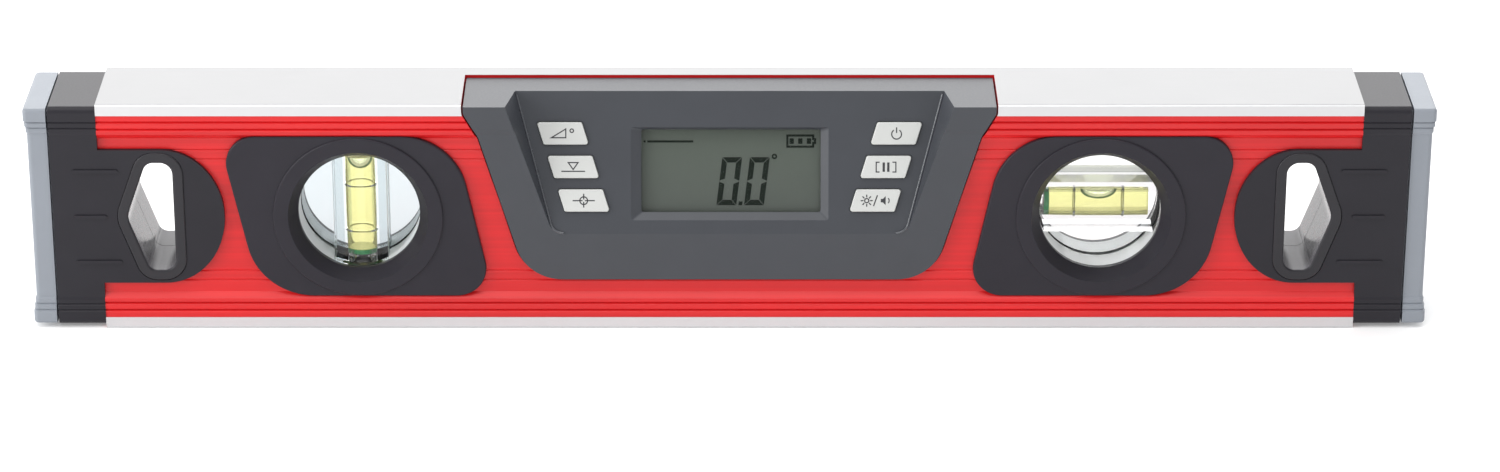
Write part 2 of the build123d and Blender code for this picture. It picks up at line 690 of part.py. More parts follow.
def barrel():
    """Crowned bore along Z, centred on the origin."""
    half = BARREL_LENGTH / 2
    lower = (BARREL_END_RADIUS, -half)
    upper = (BARREL_END_RADIUS, half)
    crown = ThreePointArc(lower, (BARREL_RADIUS, 0), upper)
    close = Polyline(upper, (0, half), (0, -half), lower)
    return revolve(Plane.XZ * make_face(crown + close), Axis.Z)


def line_rings(drop):
    """Two ring lines in grooves of the barrel, with their middle below its own by a drop."""
    rings = []
    for side in (-1, 1):
        band = Circle(BARREL_RADIUS + LINE_THICKNESS) - Circle(BARREL_RADIUS)
        place = Pos(0, 0, side * LINE_SPACING / 2 - LINE_WIDTH / 2 - drop)
        rings.append(place * extrude(band, amount=LINE_WIDTH))
    return rings


def plug_bore(length):
    """Rod outwards from the barrel's lower end: the plug, or the bore that holds it."""
    return Pos(0, 0, -BARREL_LENGTH / 2) * extrude(Circle(BARREL_END_RADIUS), amount=-length)


def block(line_drop):
    """Clear block looked at along Y, with its barrel along Z."""
    disc = Rot(90, 0, 0) * Cylinder(BLOCK_RADIUS, BLOCK_DEPTH)
    hollow = Rot(90, 0, 0) * Cylinder(BLOCK_RADIUS - BLOCK_RIM, BLOCK_DEPTH)
    bar = Box(BAR_WIDTH, BAR_DEPTH, 2 * BLOCK_RADIUS) + Box(2 * BLOCK_RADIUS, WEB_SHEET, 2 * BLOCK_RADIUS)
    body = disc - (hollow - bar)
    for piece in [barrel(), plug_bore(2 * BLOCK_RADIUS)] + line_rings(line_drop):
        body -= piece
    return body


def level_bubble(grow):
    """Lens of air under the top of a lying barrel, with the barrel along X."""
    radius = BARREL_END_RADIUS - BUBBLE_CLEARANCE
    half = BUBBLE_LENGTH / 2
    ball = (half**2 + BUBBLE_HEIGHT**2) / (2 * BUBBLE_HEIGHT)
    bore = Rot(0, 90, 0) * Cylinder(radius + grow, BARREL_LENGTH)
    return bore & Pos(0, 0, radius - BUBBLE_HEIGHT + ball) * Sphere(ball + grow)


def cap_bubble(grow):
    """Air at the top end of a standing barrel, with a rounded lower face."""
    radius = BARREL_END_RADIUS - BUBBLE_CLEARANCE
    top = BARREL_LENGTH / 2 - BUBBLE_CLEARANCE
    ball = (radius**2 + CAP_BUBBLE_HEIGHT**2) / (2 * CAP_BUBBLE_HEIGHT)
    plug = Pos(0, 0, top - CAP_BUBBLE_HEIGHT / 2) * Cylinder(radius + grow, CAP_BUBBLE_HEIGHT + 2 * grow)
    return plug & Pos(0, 0, top - CAP_BUBBLE_HEIGHT + ball) * Sphere(ball + grow)


# Display housing and tilted panel

def housing_half(height):
    """Half width of the housing's leaning sides."""
    return HOUSING_MID_WIDTH / 2 + HOUSING_SLOPE * (height - MID)


def housing_outline(top):
    """Front outline of the housing up to a height."""
    flare_start = BEAM_HEIGHT - HOUSING_FLARE_START
    flare_end = BEAM_HEIGHT - HOUSING_FLARE_END
    shoulder = housing_half(flare_start) + HOUSING_FLARE
    right = [
        (housing_half(HOUSING_FOOT), HOUSING_FOOT),
        (housing_half(flare_start), flare_start),
        (shoulder, flare_end),
        (shoulder, top),
    ]
    left = [(-x, z) for x, z in reversed(right)]
    radii = [HOUSING_CORNER, HOUSING_FLARE_RADIUS, HOUSING_SHOULDER_RADIUS, 0]
    return rounded(right + left, radii + radii[::-1])


def housing_inside(inset, top):
    """Housing outline drawn in on every side and cut off at a height."""
    inside = offset(housing_outline(HOUSING_TOP), -inset, kind=Kind.INTERSECTION)
    width = 2 * (housing_half(BEAM_HEIGHT) + HOUSING_FLARE)
    return inside & Pos(0, top / 2) * Rectangle(width, top)


def panel_plane(depth):
    """Plane of the tilted panel, or one behind it; its own Y runs up the slope."""
    tilt = radians(PANEL_TILT)
    outward = (0, -cos(tilt), sin(tilt))
    foot = Plane(origin=(0, FRONT + HOUSING_FACE_DEPTH, PANEL_FOOT), x_dir=(1, 0, 0), z_dir=outward)
    return foot.offset(-depth)


def behind_panel(face, front, back):
    """Panel outline carried between two depths behind the panel."""
    return extrude(panel_plane(back) * face, amount=back - front)


def panel_half(up):
    """Half width of the panel at a distance up the slope."""
    return PANEL_FOOT_WIDTH / 2 + PANEL_SLOPE * up


def panel_outline(grow):
    """Panel outline, open past the top of the housing."""
    right = [(panel_half(0), 0), (panel_half(RECESS_LENGTH), RECESS_LENGTH)]
    left = [(-x, up) for x, up in reversed(right)]
    outline = rounded(right + left, [PANEL_CORNER, 0, 0, PANEL_CORNER])
    return offset(outline, grow) if grow else outline


def recess(grow, depth):
    """Space in front of the panel, with drafted side walls."""
    outline = panel_plane(depth) * panel_outline(grow)
    return extrude(outline, amount=RECESS_REACH + depth, taper=-PANEL_DRAFT)


def case_screw_places():
    """Four screws that hold the housing from the rear."""
    rows = [
        (BEAM_HEIGHT - CASE_BOSS_TOP, CASE_BOSS_TOP_INSET),
        (HOUSING_FOOT + CASE_BOSS_FOOT, CASE_BOSS_FOOT_INSET),
    ]
    return [(side * (housing_half(z) - inset), z) for z, inset in rows for side in (-1, 1)]


def board_post_places():
    """Four posts beside the display, as places on the panel."""
    x = DISPLAY_WIDTH / 2 + POST_RADIUS + POST_SPACE
    ups = (BOARD_FOOT + POST_INSET, BOARD_FOOT + BOARD_HEIGHT - POST_INSET)
    return [(side * x, up) for up in ups for side in (-1, 1)]


def button_places():
    """Name, side, and place on the panel of each button."""
    places = []
    for side, names in zip((-1, 1), BUTTON_NAMES):
        for row, name in enumerate(names):
            up = BUTTON_FIRST_UP + row * BUTTON_PITCH
            x = BUTTON_FIRST_X + row * BUTTON_PITCH * BUTTON_LEAN
            places.append((name, side, side * x, up))
    return places


def button_outline(side, x, up, grow):
    """Leaning four-sided button."""
    half = BUTTON_WIDTH / 2
    rise = BUTTON_HEIGHT / 2
    lean = side * BUTTON_LEAN * rise
    points = [
        (x - half - lean, up - rise),
        (x + half - lean, up - rise),
        (x + half + lean, up + rise),
        (x - half + lean, up + rise),
    ]
    outline = rounded(points, BUTTON_CORNER)
    return offset(outline, grow) if grow else outline


def display_frame():
    """Outline of the display's frame on the panel."""
    frame = RectangleRounded(DISPLAY_FRAME_WIDTH, DISPLAY_FRAME_HEIGHT, BUTTON_CORNER)
    return Pos(0, DISPLAY_CENTRE) * frame


def display_view():
    """Part of the display that shows inside the bevels of its frame."""
    width = DISPLAY_FRAME_WIDTH - DISPLAY_LEFT_BEVEL - DISPLAY_BEVEL
    height = DISPLAY_FRAME_HEIGHT - DISPLAY_TOP_BEVEL - DISPLAY_BEVEL
    shift = (DISPLAY_LEFT_BEVEL - DISPLAY_BEVEL) / 2
    rise = (DISPLAY_BEVEL - DISPLAY_TOP_BEVEL) / 2
    return Pos(shift, DISPLAY_CENTRE + rise) * RectangleRounded(width, height, BUTTON_CORNER)


def housing_front():
    """Solid of the housing's outline with its raised top band."""
    face = FRONT + HOUSING_FACE_DEPTH
    band = FRONT + HOUSING_BAND_DEPTH
    side = [
        (face, 0),
        (face, BEAM_HEIGHT - HOUSING_BAND_START),
        (band, BEAM_HEIGHT - HOUSING_BAND_END),
        (band, BEAM_HEIGHT),
        (HOUSING_BACK, BEAM_HEIGHT),
        (HOUSING_BACK, 0),
    ]
    width = housing_half(BEAM_HEIGHT) + HOUSING_FLARE
    profile = length_of(make_face(Polyline(*side, close=True)), -width, width)
    return slab(housing_outline(HOUSING_TOP), FRONT, HOUSING_BACK) & profile


def housing_cavity():
    """Space inside the housing, closed at the back along the top."""
    inside = housing_inside(HOUSING_WALL, HOUSING_TOP)
    crown_back = HOUSING_BACK - HOUSING_WALL
    space = slab(inside, FRONT + HOUSING_FACE_DEPTH + HOUSING_WALL, crown_back)
    mouth = housing_inside(HOUSING_WALL, HOUSING_TOP - HOUSING_CROWN)
    space += slab(mouth, crown_back - HOUSING_WALL, HOUSING_BACK)
    return space


def display_housing():
    """Shell with the tilted panel, its openings, screw bosses and board posts."""
    cavity = housing_cavity() - recess(HOUSING_WALL, PANEL_WALL)
    shell = housing_front() - recess(0, 0) - cavity
    for x, z in case_screw_places():
        shell += rod_y(x, z, CASE_BOSS_RADIUS, FRONT + HOUSING_FACE_DEPTH + HOUSING_WALL, HOUSING_BACK)
        hole = CASE_SCREW_RADIUS + CASE_SCREW_CLEARANCE
        shell -= rod_y(x, z, hole, HOUSING_BACK - CASE_SCREW_BITE - CASE_PLATE, HOUSING_BACK)
    for x, up in board_post_places():
        post = Circle(POST_RADIUS) - Circle(BOARD_SCREW_RADIUS)
        shell += behind_panel(Pos(x, up) * post, PANEL_WALL, BOARD_FRONT)
    view = panel_plane(DISPLAY_BEVEL_DEPTH) * display_view()
    frame = panel_plane(0) * display_frame()
    shell -= loft([view.face(), frame.face()])
    shell -= behind_panel(display_view(), 0, PANEL_WALL)
    for _, side, x, up in button_places():
        shell -= behind_panel(button_outline(side, x, up, BUTTON_GAP), -BUTTON_PROUD, PANEL_WALL)
    return shell


def button(side, x, up):
    """Button with a flange behind the panel and a stem over its switch."""
    cap = behind_panel(button_outline(side, x, up, 0), -BUTTON_PROUD, PANEL_WALL)
    top = cap.faces().sort_by(Axis(origin=(0, 0, 0), direction=panel_plane(0).z_dir))[-1]
    cap = fillet(top.edges(), BUTTON_FILLET)
    flange_end = PANEL_WALL + BUTTON_FLANGE_THICKNESS
    flange = behind_panel(button_outline(side, x, up, BUTTON_FLANGE), PANEL_WALL, flange_end)
    stem = behind_panel(Pos(x, up) * Circle(BUTTON_STEM_RADIUS), flange_end, STEM_END)
    return cap + flange + stem


def switches():
    """A switch on the board under each button."""
    pieces = []
    for _, _, x, up in button_places():
        body_front = SWITCH_TOP + SWITCH_PLUNGER
        body = behind_panel(Pos(x, up) * Rectangle(SWITCH_SIDE, SWITCH_SIDE), body_front, BOARD_FRONT)
        plunger = behind_panel(Pos(x, up) * Circle(SWITCH_PLUNGER_RADIUS), SWITCH_TOP, body_front)
        pieces.append(body + plunger)
    return pieces


def display_sheet(front, back, trim):
    """Rectangular layer of the display stack."""
    sheet = Rectangle(DISPLAY_WIDTH, DISPLAY_HEIGHT - 2 * trim)
    return behind_panel(Pos(0, DISPLAY_CENTRE) * sheet, front, back)


def contact_strips():
    """Rubber contact strips between the display's two long edges and the board."""
    reach = DISPLAY_HEIGHT / 2 - STRIP_WIDTH / 2
    strip = Rectangle(DISPLAY_FRAME_WIDTH, STRIP_WIDTH)
    places = [Pos(0, DISPLAY_CENTRE + side * reach) for side in (-1, 1)]
    return [behind_panel(place * strip, BACKLIGHT_FRONT, BOARD_FRONT) for place in places]


def main_board():
    """Circuit board parallel to the panel."""
    top = BOARD_FOOT + BOARD_HEIGHT
    right = [(panel_half(BOARD_FOOT) - BOARD_MARGIN, BOARD_FOOT), (panel_half(top) - BOARD_MARGIN, top)]
    left = [(-x, up) for x, up in reversed(right)]
    face = rounded(right + left, BOARD_MARGIN)
    for x, up in board_post_places():
        face -= Pos(x, up) * Circle(BOARD_SCREW_RADIUS)
    return behind_panel(face, BOARD_FRONT, BOARD_BACK)


def board_screws():
    """Screws from the back of the board into the posts."""
    one = screw(BOARD_SCREW_RADIUS, BOARD_SCREW_LENGTH, BOARD_SCREW_HEAD_RADIUS, BOARD_SCREW_HEAD_HEIGHT)
    turned = Rot(180, 0, 0) * one
    return [panel_plane(BOARD_BACK) * Pos(x, up, 0) * turned for x, up in board_post_places()]


def on_board(face, x, thickness):
    """Component on the back of the board."""
    return behind_panel(Pos(x, CHIP_HEIGHT_UP) * face, BOARD_BACK, BOARD_BACK + thickness)


# Battery side

def pad_outline(grow):
    """Outline shared by the rear opening, the case's pad and the battery door."""
    face = RectangleRounded(PAD_WIDTH + 2 * grow, PAD_HEIGHT + 2 * grow, PAD_CORNER)
    return Pos(0, TUB_MID) * face


def tub_outline(grow):
    """Inside of the battery tub, or its outside."""
    height = TUB_CEILING - TUB_FLOOR
    return Pos(0, TUB_MID) * Rectangle(2 * (TUB_HALF + grow), height + 2 * grow)


def case_outline():
    """Outline of the rear case, inside the housing's."""
    return housing_inside(CASE_INSET, HOUSING_TOP - HOUSING_CROWN + HOUSING_WALL - CASE_INSET)


def rear_case():
    """Back of the housing with the battery tub and the pad for the door."""
    body = slab(case_outline(), CASE_FRONT, CASE_BACK)
    body += slab(pad_outline(0), CASE_FRONT, PAD_BACK)
    body += slab(tub_outline(TUB_WALL), TUB_FRONT - TUB_WALL, CASE_BACK)
    body -= slab(tub_outline(0), TUB_FRONT, THROUGH)
    for x, z in case_screw_places():
        body -= rod_y(x, z, CASE_SCREW_RADIUS + CASE_SCREW_CLEARANCE, CASE_FRONT, CASE_BACK)
    for x in door_screw_places():
        body -= rod_y(x, TUB_MID, DOOR_SCREW_RADIUS + DOOR_SCREW_CLEARANCE, CASE_FRONT, PAD_BACK)
    for tab in contact_tabs(TAB_SPACE):
        body -= tab
    return body


def case_gasket():
    """Flat seal between the housing and the rear case."""
    face = case_outline() - housing_inside(HOUSING_WALL, HOUSING_TOP - HOUSING_CROWN)
    return slab(face, HOUSING_BACK, CASE_FRONT)


def case_screws():
    """Screws through the beam's back and the rear case into the housing."""
    seat = CAVITY_HALF + SPOT_FACE_WALL
    length = seat - HOUSING_BACK + CASE_SCREW_BITE
    one = screw(CASE_SCREW_RADIUS, length, CASE_SCREW_HEAD_RADIUS, CASE_SCREW_HEAD_HEIGHT)
    return [from_rear(x, z, seat) * one for x, z in case_screw_places()]


def cell(height, turned):
    """One cell along X, with its nub to the right or turned to the left."""
    body_end = CELL_LENGTH / 2 - CELL_NUB_LENGTH
    body = rod_x(CELL_Y, height, CELL_RADIUS, -CELL_LENGTH / 2, body_end)
    body += rod_x(CELL_Y, height, CELL_NUB_RADIUS, body_end, CELL_LENGTH / 2)
    return left_of(body) if turned else body


def leaf_contact(height):
    """Plate on the right end wall of the tub, with a bowed leaf that meets the cell."""
    wall = TUB_HALF - CONTACT_THICKNESS
    plate = Box(CONTACT_THICKNESS, CONTACT_SIDE, CONTACT_SIDE)
    plate = Pos(wall + CONTACT_THICKNESS / 2, CELL_Y, height) * plate
    half = LEAF_HEIGHT / 2
    outer = ThreePointArc((wall, -half), (wall - LEAF_BOW, 0), (wall, half))
    inner_half = half - CONTACT_THICKNESS
    inner = ThreePointArc((wall, inner_half), (wall - LEAF_BOW + CONTACT_THICKNESS, 0), (wall, -inner_half))
    ends = Line((wall, half), (wall, inner_half)) + Line((wall, -inner_half), (wall, -half))
    bow = Pos(0, height) * make_face(outer + ends + inner)
    leaf = slab(bow, CELL_Y - LEAF_WIDTH / 2, CELL_Y + LEAF_WIDTH / 2)
    return plate + leaf


def contact_tabs(grow):
    """Tabs that carry the left contacts forward to the board."""
    tabs = []
    tilt = radians(PANEL_TILT)
    x = -TUB_HALF + CONTACT_THICKNESS / 2
    for height in (CELL_LOW + CONTACT_SIDE / 4, CELL_HIGH - CONTACT_SIDE / 4):
        top = height + TAB_WIDTH / 2
        rise = (top - PANEL_FOOT) / cos(tilt) + BOARD_BACK * sin(tilt) / cos(tilt)
        board = FRONT + HOUSING_FACE_DEPTH + rise * sin(tilt) + BOARD_BACK * cos(tilt) + TAB_SPACE
        size = (CONTACT_THICKNESS + 2 * grow, CELL_Y - board, TAB_WIDTH + 2 * grow)
        tabs.append(Pos(x, (CELL_Y + board) / 2, height) * Box(*size))
    return tabs


def battery_contacts():
    """Two separate contacts on the left and one bridging contact on the right."""
    pieces = []
    for height, tab in zip((CELL_LOW, CELL_HIGH), contact_tabs(0)):
        pieces.append(left_of(leaf_contact(height)) + tab)
    bridge = leaf_contact(CELL_LOW) + leaf_contact(CELL_HIGH)
    span = CELL_HIGH - CELL_LOW
    x = TUB_HALF - CONTACT_THICKNESS / 2
    bridge += Pos(x, CELL_Y, (CELL_LOW + CELL_HIGH) / 2) * Box(CONTACT_THICKNESS, CONTACT_SIDE, span)
    return pieces + [bridge]


def door_screw_places():
    """X of the two door screws."""
    reach = PAD_WIDTH / 2 - DOOR_SCREW_INSET
    return -reach, reach


def battery_door():
    """Cover in the rear opening, with finger grooves and sunk screw holes."""
    back = DOOR_FRONT + DOOR_THICKNESS
    body = slab(pad_outline(0), DOOR_FRONT, back)
    body = fillet(body.faces().sort_by(Axis.Y)[-1].edges(), DOOR_FILLET)
    first = -(DOOR_GROOVES - 1) / 2 * DOOR_GROOVE_PITCH
    for index in range(DOOR_GROOVES):
        slot = Rot(0, 0, 90) * SlotOverall(DOOR_GROOVE_LENGTH, DOOR_GROOVE_WIDTH)
        place = Pos(first + index * DOOR_GROOVE_PITCH, TUB_MID)
        body -= slab(place * slot, back - DOOR_GROOVE_DEPTH, back)
    for x in door_screw_places():
        body -= rod_y(x, TUB_MID, DOOR_SCREW_RADIUS, DOOR_FRONT, back)
        head = DOOR_SCREW_HEAD_RADIUS + DOOR_SCREW_CLEARANCE
        body -= rod_y(x, TUB_MID, head, back - DOOR_SCREW_HEAD_HEIGHT, back)
    return body


def door_seal():
    """Rubber frame between the pad and the door."""
    face = tub_outline(SEAL_INSET + SEAL_WIDTH) - tub_outline(SEAL_INSET)
    return slab(face, PAD_BACK, DOOR_FRONT)


def door_screws():
    """Captive screws of the battery door."""
    seat = DOOR_FRONT + DOOR_THICKNESS - DOOR_SCREW_HEAD_HEIGHT
    one = screw(DOOR_SCREW_RADIUS, DOOR_SCREW_LENGTH, DOOR_SCREW_HEAD_RADIUS, DOOR_SCREW_HEAD_HEIGHT)
    return [from_rear(x, TUB_MID, seat) * one for x in door_screw_places()]


# Nodes

def vial_nodes(side_name, x, turn, bubble, line_drop):
    """Block, fluid, lines, plug and bubble of one vial, turned and set in its window."""
    upright = Pos(x, 0, MID)
    tube = upright * turn
    return {
        f"{side_name}_vial_block": tube * block(line_drop),
        f"{side_name}_vial_fluid": tube * barrel() - upright * bubble(BUBBLE_CLEARANCE / 3),
        f"{side_name}_vial_lines": group([tube * ring for ring in line_rings(line_drop)]),
        f"{side_name}_vial_plug": tube * plug_bore(PLUG_LENGTH),
        f"{side_name}_bubble": upright * bubble(0),
    }


def both_ends(name, shape):
    """A piece of the right end and its mirror image on the left."""
    return {f"right_{name}": shape, f"left_{name}": left_of(shape)}


def all_nodes():
    """Every piece of the level by name."""
    nodes = {"beam": beam()}
    nodes |= both_ends("end_cap", end_cap())
    nodes |= both_ends("bumper", bumper())
    nodes |= both_ends("cap_screws", group(cap_screws()))
    nodes |= both_ends("liner_front", hole_liner(True))
    nodes |= both_ends("liner_rear", rear_of(hole_liner(False)))
    nodes |= both_ends("bezel_front", bezel(0))
    nodes |= both_ends("bezel_rear", rear_of(bezel(BEZEL_SCREW_HEAD_HEIGHT)))
    nodes |= both_ends("bezel_screws", group(bezel_screws()))
    nodes |= vial_nodes("left", -VIAL_X, Rot(0, 0, 0), cap_bubble, PLUMB_LINE_DROP)
    nodes |= vial_nodes("right", VIAL_X, Rot(0, 90, 0), level_bubble, 0)
    nodes["display_housing"] = display_housing()
    nodes["display_window"] = display_sheet(PANEL_WALL, GLASS_FRONT, 0)
    nodes["display_panel"] = display_sheet(GLASS_FRONT, BACKLIGHT_FRONT, 0)
    nodes["backlight_panel"] = display_sheet(BACKLIGHT_FRONT, BOARD_FRONT, STRIP_WIDTH + STRIP_SPACE)
    nodes["contact_strips"] = group(contact_strips())
    nodes["main_board"] = main_board()
    nodes["board_screws"] = group(board_screws())
    nodes["button_switches"] = group(switches())
    nodes["processor"] = on_board(Rectangle(CHIP_SIDE, CHIP_SIDE), 0, CHIP_THICKNESS)
    nodes["tilt_sensor"] = on_board(Rectangle(SENSOR_SIDE, SENSOR_SIDE), SENSOR_X, SENSOR_THICKNESS)
    nodes["buzzer"] = on_board(Circle(BUZZER_RADIUS), BUZZER_X, BUZZER_THICKNESS)
    for name, side, x, up in button_places():
        nodes[f"{name}_button"] = button(side, x, up)
    nodes["rear_case"] = rear_case()
    nodes["case_gasket"] = case_gasket()
    nodes["case_screws"] = group(case_screws())
    nodes["cells"] = group([cell(CELL_LOW, False), cell(CELL_HIGH, True)])
    nodes["battery_contacts"] = group(battery_contacts())
    nodes["battery_door"] = battery_door()
    nodes["battery_door_seal"] = door_seal()
    nodes["battery_door_screws"] = group(door_screws())
    return nodes


os.makedirs("parts", exist_ok=True)
for name, shape in all_nodes().items():
    export_step(shape, f"parts/{name}.step")
print(f"length {2 * LEVEL_END:.1f} height {BEAM_HEIGHT:.1f} vial {VIAL_X:.1f} panel tilt {PANEL_TILT}")
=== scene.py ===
import logging
from dataclasses import dataclass, field
from enum import Enum
from math import atan, cos, pi, radians, sin, sqrt, tan
from typing import Any, Callable, Iterable, Mapping, Optional, Protocol, Sequence, Union

import bmesh
import bpy
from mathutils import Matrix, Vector


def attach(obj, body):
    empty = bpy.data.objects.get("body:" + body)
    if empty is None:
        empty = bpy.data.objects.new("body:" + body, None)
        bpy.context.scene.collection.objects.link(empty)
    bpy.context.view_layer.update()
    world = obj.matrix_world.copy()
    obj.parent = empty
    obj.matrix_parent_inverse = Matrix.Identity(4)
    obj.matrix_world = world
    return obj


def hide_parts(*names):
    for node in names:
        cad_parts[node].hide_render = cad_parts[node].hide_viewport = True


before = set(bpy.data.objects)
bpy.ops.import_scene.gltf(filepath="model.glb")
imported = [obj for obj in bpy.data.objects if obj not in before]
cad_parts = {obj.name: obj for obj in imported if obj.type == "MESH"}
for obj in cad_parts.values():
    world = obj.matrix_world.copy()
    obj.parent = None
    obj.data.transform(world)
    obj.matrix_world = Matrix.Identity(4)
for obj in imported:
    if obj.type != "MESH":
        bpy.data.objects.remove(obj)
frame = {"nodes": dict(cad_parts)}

# Digital spirit level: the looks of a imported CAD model.
# Sizes in the classes are in millimetres, and meshes are in metres.

LOG = logging.getLogger("spirit_level")
MM = 0.001
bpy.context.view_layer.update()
BODY = "level"
LIQUID_IOR = 1.36  # index of refraction of the liquid in the vials
SHARP_ANGLE = 35.0  # degrees from which an edge is shaded as a sharp one
FULL_TURN = 360.0  # degrees

Colour = tuple[float, float, float]
Place = tuple[float, float, float]
Point = tuple[float, float]
Range = tuple[float, float]


class Side(Enum):
    """End of the level, as the sign of its X."""

    LEFT = -1
    RIGHT = 1

    @property
    def word(self) -> str:
        """Name of the side in lower case."""
        return self.name.lower()


# Node trees

class Wire:
    """A socket of a node tree, with arithmetic that adds Math nodes."""

    def __init__(self, tree: "NodeDraft", socket: Optional[bpy.types.NodeSocket]) -> None:
        """Wrap one output socket, or none for a node without any."""
        self.tree = tree
        self.socket = socket

    def _math(self, operation: str, first: "Operand", second: "Operand") -> "Wire":
        """Add a Math node on two operands."""
        return self.tree.node("ShaderNodeMath", {"operation": operation}, {0: first, 1: second})

    def __add__(self, other: "Operand") -> "Wire":
        """Sum."""
        return self._math("ADD", self, other)

    def __radd__(self, other: "Operand") -> "Wire":
        """Sum with the number first."""
        return self._math("ADD", other, self)

    def __sub__(self, other: "Operand") -> "Wire":
        """Difference."""
        return self._math("SUBTRACT", self, other)

    def __rsub__(self, other: "Operand") -> "Wire":
        """Difference from a number."""
        return self._math("SUBTRACT", other, self)

    def __mul__(self, other: "Operand") -> "Wire":
        """Product."""
        return self._math("MULTIPLY", self, other)

    def __rmul__(self, other: "Operand") -> "Wire":
        """Product with the number first."""
        return self._math("MULTIPLY", other, self)

    def __abs__(self) -> "Wire":
        """Distance from zero."""
        return self._math("ABSOLUTE", self, 0.0)

    def most(self, other: "Operand") -> "Wire":
        """Larger of two values."""
        return self._math("MAXIMUM", self, other)

    def rise(self, low: float, high: float) -> "Wire":
        """Smooth step from 0 at low to 1 at high."""
        settings = {"interpolation_type": "SMOOTHSTEP"}
        return self.tree.node("ShaderNodeMapRange", settings, {0: self, 1: low, 2: high})


Operand = Union[Wire, float]


class NodeDraft:
    """A node tree in the making."""

    def __init__(self, tree: bpy.types.NodeTree) -> None:
        """Start on an empty tree."""
        self.tree = tree
        self.tree.nodes.clear()

    def node(
        self,
        kind: str,
        settings: Optional[Mapping[str, Any]] = None,
        sockets: Optional[Mapping[Union[str, int], Any]] = None,
        output: Union[str, int] = 0,
    ) -> Wire:
        """Add any node.

        Args:
            kind: Blender's name for the node's type.
            settings: Values of the node itself, with a ramp's stops under "stops".
            sockets: Values or wires for its inputs, by name or place.
            output: Output that the returned wire starts from.

        Returns:
            Wire from that output.
        """
        made = self.tree.nodes.new(kind)
        for key, value in (settings or {}).items():
            if key == "stops":
                self._set_stops(made.color_ramp, value)
            else:
                setattr(made, key, value)
        for key, value in (sockets or {}).items():
            if isinstance(value, Wire):
                self.tree.links.new(value.socket, made.inputs[key])
            else:
                made.inputs[key].default_value = value
        outputs = made.outputs
        return Wire(self, outputs[output] if len(outputs) else None)

    @staticmethod
    def _set_stops(ramp: bpy.types.ColorRamp, stops: Sequence[tuple[float, Colour]]) -> None:
        """Give a colour ramp its stops.

        Args:
            ramp: Ramp of a new node, which has two stops.
            stops: Places and colours in rising order.
        """
        while len(ramp.elements) < len(stops):
            ramp.elements.new(1.0)
        for element, (place, colour) in zip(ramp.elements, stops):
            element.position = place
            element.color = (*colour, 1.0)


class MaterialDraft(NodeDraft):
    """A material in the making, read in Object coordinates."""

    def __init__(self, name: str) -> None:
        """Start an empty material.

        Args:
            name: Name of the material.
        """
        self.material = bpy.data.materials.new(name)
        self.material.use_nodes = True
        super().__init__(self.material.node_tree)
        self.place = self.node("ShaderNodeTexCoord", output="Object")

    def axis(self, name: str) -> Wire:
        """X, Y or Z of the surface point, in metres."""
        return self.node("ShaderNodeSeparateXYZ", sockets={0: self.place}, output=name)

    def facing(self, name: str) -> Wire:
        """How squarely the surface faces along X, Y or Z, from 0 to 1."""
        normal = self.node("ShaderNodeTexCoord", output="Normal")
        return abs(self.node("ShaderNodeSeparateXYZ", sockets={0: normal}, output=name))

    def noise(self, size: float, stretch: Place = (1, 1, 1), detail: float = 3.0) -> Wire:
        """Cloudy noise.

        Args:
            size: Size of its patches in millimetres.
            stretch: How much longer the patches are along each axis.
            detail: Number of finer layers.

        Returns:
            Wire from 0 to 1, near 0.5 on average.
        """
        scale = tuple(1 / (size * MM * longer) for longer in stretch)
        place = self.node("ShaderNodeMapping", sockets={"Vector": self.place, "Scale": scale})
        sockets = {"Vector": place, "Scale": 1.0, "Detail": detail}
        return self.node("ShaderNodeTexNoise", sockets=sockets)

    def tint(self, factor: Wire, low: Colour, high: Colour) -> Wire:
        """Colour between two, by a factor."""
        stops = [(0.0, low), (1.0, high)]
        return self.node("ShaderNodeValToRGB", {"stops": stops}, {0: factor})

    def mottled(self, factor: Wire, colour: Colour, shares: Range) -> Wire:
        """Colour between two shares of itself, by a factor."""
        low, high = (shade(colour, share) for share in shares)
        return self.tint(factor, low, high)

    def between(self, factor: Wire, ends: Range) -> Wire:
        """Value between two ends, by a factor."""
        low, high = ends
        return low + (high - low) * factor

    def mix(self, factor: Wire, first: Wire, second: Wire) -> Wire:
        """Mix of two colour wires."""
        sockets = {0: factor, 6: first, 7: second}
        return self.node("ShaderNodeMix", {"data_type": "RGBA"}, sockets, 2)

    def bump(self, height: Wire, depth: float = 1.0) -> Wire:
        """Normal from a height.

        Args:
            height: Height of the surface.
            depth: Depth in millimetres that a step of 1 stands for.

        Returns:
            Wire for a shader's Normal.
        """
        sockets = {"Distance": depth * MM, "Height": height}
        return self.node("ShaderNodeBump", sockets=sockets, output="Normal")

    def finish(self, sockets: Mapping[str, Any]) -> bpy.types.Material:
        """Close the material with a Principled shader.

        Args:
            sockets: Values and wires of the shader.

        Returns:
            The finished material.
        """
        shader = self.node("ShaderNodeBsdfPrincipled", sockets=sockets)
        self.node("ShaderNodeOutputMaterial", sockets={"Surface": shader})
        return self.material


def shade(colour: Colour, share: float) -> Colour:
    """Colour made lighter or darker by a share."""
    return tuple(min(1.0, part * share) for part in colour)


def opaque(colour: Colour) -> tuple[float, float, float, float]:
    """Colour with an alpha of one."""
    return (*colour, 1.0)


def around(middle: float, reach: float) -> Range:
    """Range that reaches equally far to both sides of a middle."""
    return middle - reach, middle + reach


def metres(lengths: Iterable[float]) -> list[float]:
    """Lengths in metres instead of millimetres."""
    return [length * MM for length in lengths]


# Finishes

